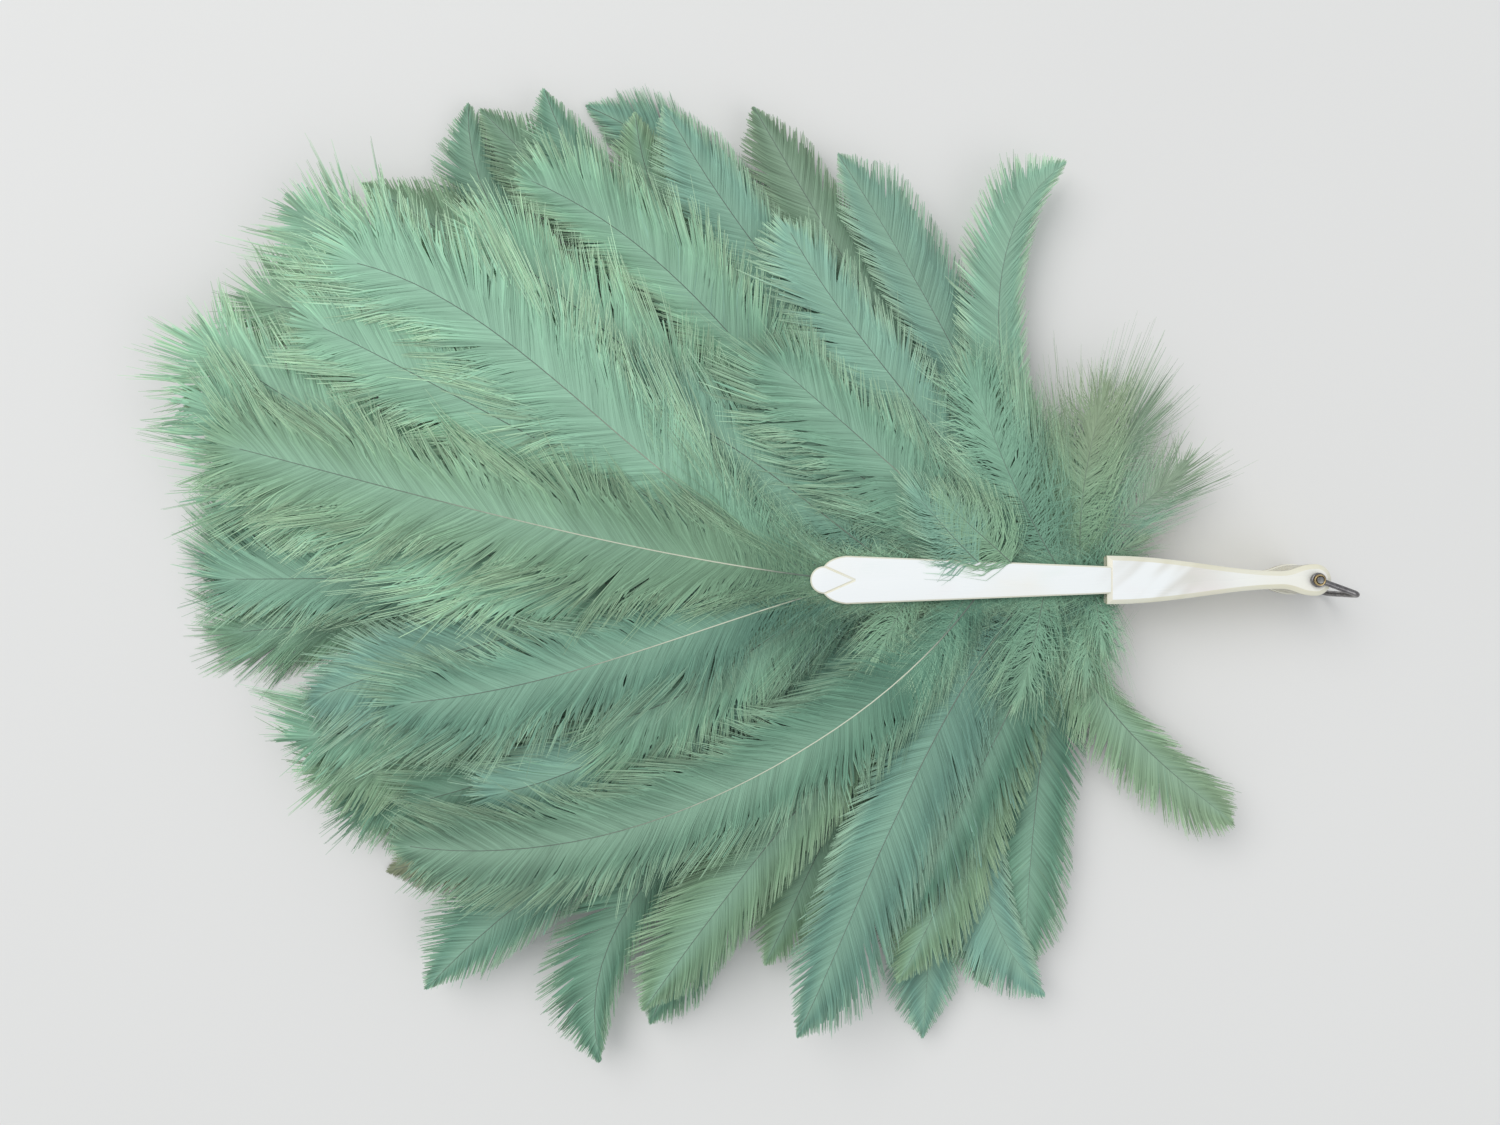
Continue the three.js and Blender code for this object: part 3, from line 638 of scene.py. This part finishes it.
barbs = {  # sizes of the barbs, given to the node tree by name
    "Barb spacing": 0.19 * mm,
    "Barb width": 0.45 * mm,
    "Barb thickness": 0.09 * mm,
    "Barb points": 4,
    "Web every": 4,  # one barb in so many is a wide flat one under the rest
    "Web width": 3.2,
    "Web sink": 0.15 * mm,
    "Clump pitch": 0.85 * mm,
    "Clump pull": 0.34,
    "Forward curl": 0.28,
    "Ruffle": 0.9 * mm,
    "Close ruffle": 0.12 * mm,
    "Floor gap": 0.12 * mm,
    "Seed": 7,
}

barbWays = {  # how barbs differ along a shaft, from clump to clump and one by one
    "leastReach": 0.5 * mm,  # shorter ones are left out
    "taperFrom": 0.55,
    "tipWidth": 0.3,
    "keenAngle": 1.4,  # edges that turn further are shaded sharp
    "clumpKeys": 1501.0,  # more than the clumps on one side of a shaft
    "clumpWave": (760.0, 1.9),  # radians to a metre, and from one plume or side to the next
    "clumpWaveShare": 0.55,
    "trimClump": 0.62,
    "pull": (0.5, 1.2),
    "downPull": 0.4,
    "clumpLift": 0.4,
    "ownLift": 0.35,
    "strayFrom": 0.97,
    "strayLength": 0.3,
    "clumpLength": (-0.1, 0.06),
    "ownLength": (-0.32, 0.05),
    "webLength": 0.8,
    "webDepth": 0.6,
    "webTone": 0.6,
    "lopsided": 0.16,
    "swellWave": (170.0, 2.1),
    "swellLean": 0.08,
    "clumpLean": 0.008,
    "ownLean": 0.02,
    "downLean": 0.5,
    "downWebLean": 0.3,
    "downWidth": 0.45,
    "downWebWidth": 0.9,
    "flowWave": (95.0, 1.3),
    "flowPhase": 1.4,
    "clumpPhase": 0.8,
    "downPhase": 4.5,
    "swayTurn": 5.0,
    "downSway": 0.4,
    "frayedSway": 0.16,
    "curl": (0.55, 1.4),
    "gathered": (0.5, 1.1),  # shares of a barb's length
    "downyFrom": (0.05, 0.5),
    "risePower": 1.4,
}

shaftForm = {
    "curveSteps": 200,
    "stations": 28,
    "bearingStep": 2 * mm,
    "boundRadius": 0.35 * mm,
    "baseRadius": 0.29 * mm,
    "tipRadius": 0.13 * mm,
    "radiusPower": 0.8,
    "flatness": 0.57,
    "boundLean": 82.0,
    "baseLean": 66.0,
    "midLean": 50.0,
    "tipLean": 39.0,
    "downTipLean": 14.0,
    "tipFan": 8 * mm,  # the last barbs of a soft plume close its end in a round fan
    "lag": 26 * mm,  # barbs keep the direction that the shaft had this far back
    "lagShare": 0.65,
    "trimRoll": 0.65,  # how far a barb's flat side turns outwards
    "softRoll": 0.35,
    "sweep": 0.7,  # share of a barb's length that goes sideways
    "trimWidth": 0.78,  # a trim plume's vane against a soft one's
    "widest": 0.42,  # most reach of a barb, as a share of the shaft's length
    "fullFrom": 0.3,
    "trimTip": 1.5 * mm,  # reach of the last barbs
    "softTip": 0.6,  # the same, as a share of the most
    "softTips": (0.35, 0.85),
    "topShort": 0.25,  # how far shafts stop short, as a share of the last barbs' reach
    "lowShort": 0.77,
    "trimEnd": 0.45,  # how fast vanes narrow to the tip
    "softEnd": 0.8,
    "fanReach": 0.8,
    "fanLean": 0.1,
    "fanned": (0.3, 0.6),
    "trimClose": (-8 * mm, 14 * mm),
    "trimFray": 0.2,
    "frayed": (0.2, 0.8),
    "trimRuffle": 0.7,
    "softRuffle": 1.3,
    "trimSheet": 0.65,
    "softSheet": 0.5,
    "sheetFrom": (0.1, 0.5),
    "freeFrom": 0.4,
    "downReach": 12 * mm,
    "downRuns": (6 * mm, 46 * mm),
    "downShare": 0.5,
    "downRadius": 0.45,
    "faceReach": 19 * mm,  # strands over the front guard
    "faceEnd": 0.5,
    "faceFray": 0.3,
    "faceDown": 0.5,
    "faceAlong": 0.4,
    "faceClear": 0.3 * mm,
    "keysEach": 8,  # numbers kept for each stick's plumes
    "fineSticks": 4,  # sticks on top; the others' barbs have fewer points
    "coarsePoints": 3,
    "topSticks": 6,  # sticks on top, whose shafts run on nearly to the plume's end
}


def plumeTree():
    inputs = {"Shafts": "Geometry"}
    inputs.update({name: "Int" if isinstance(value, int) else "Float" for name, value in barbs.items()})
    inputs.update({"Vane material": "Material", "Shaft material": "Material"})
    tree = newTree("plumeVane", inputs, "Plumes")
    k = nodeTools(tree)
    size = k.node("NodeGroupInput").outputs
    calc, times, timesPlus, vec, way = k.calc, k.times, k.timesPlus, k.vec, barbWays

    def named(name, kind="FLOAT"):
        return k.give("GeometryNodeInputNamedAttribute", name, data_type=kind)

    def store(shape, name, value, kind="FLOAT"):
        return k.give("GeometryNodeStoreNamedAttribute", shape, None, name, value, data_type=kind)

    def chance(low, high, key, step):
        seed = calc("ADD", size["Seed"], float(step))
        return k.give("FunctionNodeRandomValue", low, high, key, seed, data_type="FLOAT")

    def either(most, key, step):
        return chance(-most, most, key, step)

    def section(sides, width, height):
        ring = k.give("GeometryNodeCurvePrimitiveCircle", sides, 1.0)
        scale = k.give("ShaderNodeCombineXYZ", height, width, 1.0)
        return k.give("GeometryNodeTransform", ring, None, (0, 0, -math.pi / 2), scale)  # a corner on top

    def sweepAlong(path, profile, scale):
        upright = k.give("GeometryNodeSetCurveNormal", path, mode="Z_UP")
        return k.give("GeometryNodeCurveToMesh", upright, profile, scale, True)

    # one barb: a thin tapered blade of unit length along X
    line = k.give("GeometryNodeCurvePrimitiveLine", (0, 0, 0), (1, 0, 0))
    line = k.give("GeometryNodeResampleCurve", line, None, size["Barb points"])
    line = store(line, "barbT", k.give("GeometryNodeSplineParameter"))
    taper = k.between(1.0, way["tipWidth"], k.ease(named("barbT"), way["taperFrom"], 1.0))
    halfWidth = times(size["Barb width"], 0.5)
    halfDepth = times(size["Barb thickness"], 0.5)
    barb = sweepAlong(line, section(3, halfWidth, halfDepth), taper)
    keen = calc("GREATER_THAN", k.give("GeometryNodeInputMeshEdgeAngle"), way["keenAngle"])
    barb = k.give("GeometryNodeSetShadeSmooth", barb, keen, False, domain="EDGE")

    # barbs stand on both sides of each shaft, in clumps
    shafts = k.give("GeometryNodeMeshToCurve", size["Shafts"])
    fine = k.give("GeometryNodeResampleCurve", shafts, None, size["Barb spacing"], mode="LENGTH")
    run = k.node("GeometryNodeSplineParameter").outputs["Length"]
    fine = store(fine, "runHere", run)
    fine = store(fine, "heading", k.give("GeometryNodeInputTangent"), "FLOAT_VECTOR")
    roots = k.give("GeometryNodeCurveToPoints", fine, mode="EVALUATED")
    bare = calc("LESS_THAN", named("barbReach"), way["leastReach"])
    roots = k.give("GeometryNodeDeleteGeometry", roots, bare, domain="POINT")
    doubled = k.node("GeometryNodeDuplicateElements", roots, None, 2, domain="POINT")
    roots, copyNumber = doubled.outputs[0], doubled.outputs[1]
    side = timesPlus(copyNumber, 2.0, -1.0)

    def wave(key, pace, shift):
        return calc("SINE", timesPlus(named("runHere"), pace, times(key, shift)))

    pitch = times(size["Clump pitch"], k.between(way["trimClump"], 1.0, named("frayed")))
    shift = wave(named("plumeKey"), *way["clumpWave"])
    place = calc("DIVIDE", named("runHere"), pitch)
    place = calc("ADD", place, times(shift, way["clumpWaveShare"]))
    clumpSide = timesPlus(named("plumeKey"), 2.0, copyNumber)
    clump = timesPlus(clumpSide, way["clumpKeys"], calc("FLOOR", place))
    rank = calc("ROUND", calc("DIVIDE", named("runHere"), size["Barb spacing"]))
    web = calc("LESS_THAN", calc("FLOORED_MODULO", rank, size["Web every"]), 0.5)
    roots = store(roots, "web", web)
    single = calc("SUBTRACT", 1.0, web)
    roots = store(roots, "dye", chance(0.0, 1.0, named("plumeKey"), 16))
    roots = store(roots, "clumpTone", chance(0.0, 1.0, clump, 1))
    roots = store(roots, "tone", chance(0.0, 1.0, None, 2))
    offCentre = times(calc("SUBTRACT", 0.5, calc("FRACT", place)), pitch)
    pull = times(chance(*way["pull"], clump, 3), k.between(1.0, way["downPull"], named("down")))
    roots = store(roots, "pull", times(offCentre, pull))
    lift = calc("ADD", either(way["clumpLift"], clump, 4), either(way["ownLift"], None, 5))
    roots = store(roots, "lift", timesPlus(lift, single, named("laneLift")))
    stray = calc("GREATER_THAN", chance(0.0, 1.0, clump, 14), way["strayFrom"])  # a few longer strands
    uneven = calc("ADD", chance(*way["clumpLength"], clump, 6), chance(*way["ownLength"], None, 7))
    uneven = timesPlus(stray, way["strayLength"], uneven)
    length = times(named("barbReach"), timesPlus(uneven, named("frayed"), 1.0))
    length = times(length, k.between(1.0, way["webLength"], web))
    lopsided = timesPlus(side, either(way["lopsided"], named("plumeKey"), 10), 1.0)
    roots = store(roots, "barbLength", times(length, lopsided))
    swell = wave(clumpSide, *way["swellWave"])
    uneven = timesPlus(swell, way["swellLean"], either(way["clumpLean"], clump, 8))
    uneven = calc("ADD", uneven, either(way["ownLean"], None, 9))
    lean = timesPlus(uneven, named("frayed"), named("lean"))
    lean = timesPlus(named("skew"), side, lean)
    loose = times(named("down"), k.between(1.0, way["downWebLean"], web))
    lean = timesPlus(either(way["downLean"], None, 13), loose, lean)
    flow = wave(clumpSide, *way["flowWave"])
    tangled = times(chance(0.0, way["downPhase"], None, 15), named("down"))
    apart = calc("ADD", chance(0.0, way["clumpPhase"], clump, 11), tangled)
    roots = store(roots, "phase", timesPlus(flow, way["flowPhase"], apart))
    roots = store(roots, "curl", chance(*way["curl"], clump, 12))
    heading = named("heading", "FLOAT_VECTOR")
    across = vec("NORMALIZE", vec("CROSS_PRODUCT", (0, 0, 1), heading))
    sine, cosine = calc("SINE", lean), calc("COSINE", lean)
    sideways = vec("SCALE", across, times(sine, side))
    pointing = vec("ADD", vec("SCALE", heading, cosine), sideways)
    backward = vec("SCALE", heading, times(sine, -1.0))
    outward = vec("ADD", backward, vec("SCALE", across, times(cosine, side)))
    upward = vec("SCALE", outward, times(named("roll"), single))
    upward = vec("ADD", upward, (0, 0, 1))  # the two halves face a little apart
    turn = k.give("FunctionNodeAxesToRotation", pointing, upward, primary_axis="X", secondary_axis="Z")
    downy = k.ease(named("down"), *way["downyFrom"])
    ownWidth = k.between(1.0, way["downWidth"], downy)
    broad = k.between(ownWidth, k.between(size["Web width"], way["downWebWidth"], downy), web)
    scale = k.give("ShaderNodeCombineXYZ", named("barbLength"), broad, k.between(1.0, way["webDepth"], web))
    vanes = k.give("GeometryNodeInstanceOnPoints", roots, None, barb, None, None, turn, scale)
    vanes = k.give("GeometryNodeRealizeInstances", vanes)

    # barbs curl towards the tip, gather in clumps and ruffle
    at = named("barbT")
    squared = times(at, at)
    curl = times(times(size["Forward curl"], named("curl")), squared)
    sway = calc("SINE", timesPlus(at, way["swayTurn"], named("phase")))
    swayed = times(named("frayed"), way["frayedSway"])
    swayed = timesPlus(named("down"), way["downSway"], swayed)
    sway = times(times(sway, at), swayed)
    curl = times(named("barbLength"), calc("ADD", curl, sway))
    gather = times(named("pull"), size["Clump pull"])
    gather = times(gather, k.ease(at, *way["gathered"]))
    along = vec("SCALE", heading, calc("ADD", curl, gather))
    where = k.give("GeometryNodeInputPosition")
    radius = vec("LENGTH", vec("MULTIPLY", where, (1, 1, 0)))
    loosened = k.ease(radius, fan["guardReach"], fan["guardReach"] + fan["loosenLength"])
    room = k.between(size["Close ruffle"], times(size["Ruffle"], named("ruffle")), loosened)
    rise = times(times(named("lift"), room), calc("POWER", at, way["risePower"]))
    rise = calc("SUBTRACT", rise, times(named("web"), size["Web sink"]))
    offset = vec("ADD", along, k.give("ShaderNodeCombineXYZ", 0.0, 0.0, rise))
    vanes = k.give("GeometryNodeSetPosition", vanes, None, None, offset)
    vanes = store(vanes, "barbT", times(at, k.between(1.0, way["webTone"], named("web"))))

    # shafts
    quills = sweepAlong(shafts, section(6, 1.0, shaftForm["flatness"]), named("shaftRadius"))
    parts = k.node("ShaderNodeSeparateXYZ", where).outputs
    above = times(parts["Z"], times(named("free"), loosened))
    quills = k.give("GeometryNodeSetPosition", quills, None, None, k.give("ShaderNodeCombineXYZ", 0.0, 0.0, above))
    quills = store(quills, "isShaft", 1.0)
    joined = k.node("GeometryNodeJoinGeometry")
    tree.links.new(quills, joined.inputs[0])
    tree.links.new(vanes, joined.inputs[0])

    # every point rises to its stick's layer, a surface of revolution about the rivet
    settled = k.ease(radius, fan["settleReach"], fan["settleReach"] + fan["settleLength"])
    loosePitch = k.between(fan["loosePitch"], fan["settledPitch"], settled)
    pitch = k.between(fan["stickPitch"], loosePitch, loosened)
    floor = k.between(fan["stackFloor"], 0.0, loosened)
    floor = timesPlus(named("layer"), pitch, floor)
    share = k.between(named("besideShare"), named("looseShare"), loosened)
    height = timesPlus(share, calc("SUBTRACT", pitch, fan["stickGap"]), floor)
    height = k.between(named("boundRise"), height, named("free"))
    top = calc("MAXIMUM", calc("ADD", parts["Z"], height), size["Floor gap"])
    spot = k.give("ShaderNodeCombineXYZ", parts["X"], parts["Y"], top)
    plumes = k.give("GeometryNodeSetPosition", joined.outputs[0], None, spot)
    plumes = k.give("GeometryNodeRealizeInstances", plumes)
    plumes = k.give("GeometryNodeSetMaterial", plumes, None, size["Vane material"])
    plumes = k.give("GeometryNodeSetMaterial", plumes, named("isShaft"), size["Shaft material"])
    k.node("NodeGroupOutput", plumes)
    return tree


def smooth(value, start, end):
    share = min(max((value - start) / (end - start), 0.0), 1.0)
    return share * share * (3 - 2 * share)


def mix(low, high, share):
    return low + (high - low) * share


def headed(degrees):
    angle = math.radians(degrees)
    return Vector((-math.cos(angle), math.sin(angle)))


def shaftPlaces(lane, leaveAt, leave, bearing, reach, arrive):
    # the shaft's curve as places at even runs, with its whole length
    start = Vector((-fan["shoulderReach"] - leaveAt * fan["extensionLength"], lanes[lane]["offset"]))
    tip = headed(bearing) * reach * fan["plumeReach"]
    handle = (tip - start).length / 3
    a = start + headed(leave) * handle
    b = tip - headed(arrive) * handle
    dense = []
    for i in range(shaftForm["curveSteps"] + 1):
        t = i / shaftForm["curveSteps"]
        u = 1 - t
        dense.append(start * u ** 3 + a * (3 * u * u * t) + b * (3 * u * t * t) + tip * t ** 3)
    runs = [0.0]
    for before, after in zip(dense, dense[1:]):
        runs.append(runs[-1] + (after - before).length)

    def placeAt(run):
        i = next((j for j in range(1, len(runs)) if runs[j] >= run), len(runs) - 1)
        share = (run - runs[i - 1]) / (runs[i] - runs[i - 1])
        return dense[i - 1].lerp(dense[i], share)

    return placeAt, runs[-1]


def boundRise(stick):
    floor = fan["stackFloor"] + (fan["stickCount"] - 1 - stick) * fan["stickPitch"]
    if stick == 0:
        return floor + fan["stickThickness"] - 0.5 * fan["quillThickness"]
    if stick == fan["stickCount"] - 1:
        return floor + 0.5 * fan["quillThickness"]
    return floor + fan["extensionThickness"] + fan["quillSeat"] + 0.5 * fan["quillThickness"]


hollowPlumes = {(1, "right")}  # their halves face each other
frontShares = {"left": (0.15, 0.85), "centre": (0.85, 1.25), "right": (0.5, 0.5)}  # the middle plume lies on top


def layShaft(rows, key, stick, lane, leaveAt, leave, bearing, reach, arrive, vane, tint, fluff, pale, olive):
    # adds one plume's shaft, with all that the node tree needs to know at each of its points
    form = shaftForm
    downy, fluff = max(fluff - 1, 0.0), min(fluff, 1.0)
    placeAt, whole = shaftPlaces(lane, leaveAt, leave, bearing, reach, arrive)
    full = vane * fan["plumeHalfWidth"] * mix(form["trimWidth"], 1.0, fluff) / form["sweep"]
    full = min(full, form["widest"] * whole)
    tipReach = mix(form["trimTip"], form["softTip"] * full, smooth(fluff, *form["softTips"]))
    short = form["topShort" if stick < form["topSticks"] else "lowShort"]
    length = whole - mix(short, 1.0, downy) * tipReach
    isGuard = stick in (0, fan["stickCount"] - 1)
    spare = fan["stickThickness"] - fan["extensionThickness"]
    beside = (fan["extensionThickness"] + lanes[lane]["besideStick"] * spare) / fan["stickThickness"]
    shares = (lanes[lane]["loose"] if isGuard else beside, lanes[lane]["loose"])
    if stick == 0:
        shares = frontShares.get(lane, shares)
    boundStart = max(leaveAt * fan["extensionLength"] - fan["quillBound"], fan["quillStart"])
    fray = mix(form["trimFray"], 1.0, smooth(fluff, *form["frayed"]))
    roll = mix(form["trimRoll"], form["softRoll"], fluff)
    if (stick, lane) in hollowPlumes:
        roll = -roll
    first = len(rows["points"])

    def bearingAt(run):
        before = placeAt(max(run - form["bearingStep"], 0.0))
        after = placeAt(min(run + form["bearingStep"], whole))
        return math.atan2(after.y - before.y, after.x - before.x)

    over = lane == "face"
    places = [] if over else [(Vector((-fan["shoulderReach"] - boundStart, lanes[lane]["offset"])), 0.0, True)]
    for i in range(form["stations"] + 1):
        run = length * i / form["stations"]
        places.append((placeAt(run), run, False))
    for place, run, bound in places:
        along = run / length
        grown = mix(min(form["downReach"], full), full, smooth(run, 0.0, form["fullFrom"] * length))
        fanned = smooth(length - run, 0.0, form["tipFan"])
        ending = mix(form["fanReach"], 1.0, fanned) * tipReach
        ending += mix(form["trimEnd"], form["softEnd"], fluff) * (length - run)
        if over:
            grown = form["faceReach"] * mix(1.0, form["faceEnd"], along)
        lean = mix(form["baseLean"], form["midLean"], smooth(along, 0.0, 0.5))
        tipLean = mix(form["tipLean"], form["downTipLean"], downy)
        lean = form["boundLean"] if bound else mix(lean, tipLean, smooth(along, 0.5, 1.0))
        closing = mix(form["fanLean"], 1.0, fanned)
        lean *= mix(smooth(length - run, *form["trimClose"]), closing, smooth(fluff, *form["fanned"]))
        skew = math.remainder(bearingAt(max(run - form["lag"], 0.0)) - bearingAt(run), 2 * math.pi)
        radius = mix(form["baseRadius"], form["tipRadius"], along ** form["radiusPower"])
        nearRoot = 1.0 - smooth(run, *form["downRuns"])
        sheet = mix(form["trimSheet"], form["softSheet"], fluff)
        values = {
            "barbReach": min(grown, ending),
            "frayed": form["faceFray"] if over else fray,
            "skew": 0.0 if bound else form["lagShare"] * (1 - downy) * skew,
            "roll": roll,
            "down": form["faceDown"] if over else max(nearRoot, form["downShare"] * downy),
            "lean": math.radians(lean),
            "shaftRadius": form["boundRadius"] if bound else radius * mix(1.0, form["downRadius"], downy),
            "free": 0.0 if over else smooth(run, form["freeFrom"] * fan["bareQuill"], fan["bareQuill"]),
            "boundRise": fan["guardFace"] + form["faceClear"] if over else boundRise(stick),
            "layer": float(fan["stickCount"] - 1 - stick),
            "besideShare": shares[0],
            "looseShare": shares[1],
            "laneLift": lanes[lane]["lift"],
            "plumeKey": float(key),
            "ruffle": mix(form["trimRuffle"], form["softRuffle"], fluff),
            "tint": tint,
            "sheet": (1 - downy) * sheet * smooth(along, *form["sheetFrom"]),
            "pale": pale,
            "olive": olive,
            "along": mix(form["faceAlong"], 1.0, along) if over else along,
        }
        rows["points"].append((place.x, place.y, 0.0))
        for name, value in values.items():
            rows["values"].setdefault(name, []).append(value)
    rows["edges"] += [(i, i + 1) for i in range(first, len(rows["points"]) - 1)]


vanes = plumeTree()
keptAttributes = ["barbT", "tone", "clumpTone", "dye", "tint", "pale", "olive", "along", "sheet"]
keptAttributes += ["sharp_face", "sharp_edge", "material_index"]
plumeInputs = dict(barbs)
plumeInputs["Vane material"] = finishes["vane"]
plumeInputs["Shaft material"] = finishes["shaft"]
triangles = 0
for stick, stickName in enumerate(stickNames):
    rows = {"points": [], "edges": [], "values": {}}
    extra = [tuft[1:] for tuft in tufts if tuft[0] == stick]
    for number, plume in enumerate(plumage[stick] + extra):
        layShaft(rows, shaftForm["keysEach"] * stick + number, stick, *plume)
    lines = bpy.data.meshes.new(f"shafts_{stickName}")
    lines.from_pydata(rows["points"], rows["edges"], [])
    for name, values in rows["values"].items():
        lines.attributes.new(name, "FLOAT", "POINT").data.foreach_set("value", values)
    if stick >= shaftForm["fineSticks"]:
        plumeInputs["Barb points"] = shaftForm["coarsePoints"]
    mesh = treeMesh(f"plumes_{stickName}", lines, vanes, plumeInputs, keptAttributes)
    piece = newObject(f"plumes_{stickName}", mesh)
    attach(piece, stickName)
    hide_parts(*[f"plume_{stickName}_{plume[0]}" for plume in plumage[stick]])
    count = sum(len(p.vertices) - 2 for p in mesh.polygons)
    triangles += count
    print(stickName, "plumes", count, "triangles")
print("plumes made,", triangles, "triangles")


# floor, light and camera

studio = {
    "floorSize": 8.0,
    "keyPlace": (-1.5, 1.2, 2.3),
    "keySize": 2.4,
    "keyPower": 48.0,
    "fillPlace": (1.4, -1.3, 1.8),
    "fillSize": 1.8,
    "fillPower": 12.0,
    "sky": (0.92, 0.96, 1.0),
    "skyStrength": 0.58,
    "aim": (-0.2, 0.0, 0.015),
}

floorLook = {
    "grey": (0.74, 0.73, 0.71),
    "pale": (0.78, 0.77, 0.75),
    "cloudScale": 3.0,
    "roughness": 0.9,
    "specular": 0.1,
}


def floorMaterial():
    material, m = newMaterial("paleFloor")
    m.feed("Base Color", m.blend(m.noise(floorLook["cloudScale"], 2.0), floorLook["grey"], floorLook["pale"]))
    m.feed("Roughness", floorLook["roughness"])
    m.feed("Specular IOR Level", floorLook["specular"])
    return material


floorMesh = bpy.data.meshes.new("floor")
half = studio["floorSize"] / 2
floorMesh.from_pydata([(-half, -half, 0), (half, -half, 0), (half, half, 0), (-half, half, 0)], [], [(0, 1, 2, 3)])
floorMesh.materials.append(floorMaterial())
floor = newObject("floor", floorMesh)


def softLamp(name, place, size, power):
    lamp = bpy.data.lights.new(name, "AREA")
    lamp.size = size
    lamp.energy = power
    holder = newObject(name, lamp)
    holder.location = place
    holder.rotation_euler = (Vector(studio["aim"]) - Vector(place)).to_track_quat("-Z", "Y").to_euler()


softLamp("keyLamp", studio["keyPlace"], studio["keySize"], studio["keyPower"])
softLamp("fillLamp", studio["fillPlace"], studio["fillSize"], studio["fillPower"])
world = bpy.data.worlds.new("paleRoom")
world.use_nodes = True
background = world.node_tree.nodes["Background"]
background.inputs["Color"].default_value = (*studio["sky"], 1.0)
background.inputs["Strength"].default_value = studio["skyStrength"]
bpy.context.scene.world = world

photoCamera = {"place": (-192.8 * mm, 5.95 * mm, 420 * mm), "lens": 27.95, "sensor": 36.0, "near": 10 * mm}
lens = bpy.data.cameras.new("photoCamera")
lens.lens = photoCamera["lens"]
lens.sensor_width = photoCamera["sensor"]
lens.clip_start = photoCamera["near"]
camera = newObject("photoCamera", lens)
camera.location = photoCamera["place"]
bpy.context.scene.camera = camera
bpy.context.scene.view_settings.view_transform = "Standard"
print("floor, light and camera set")
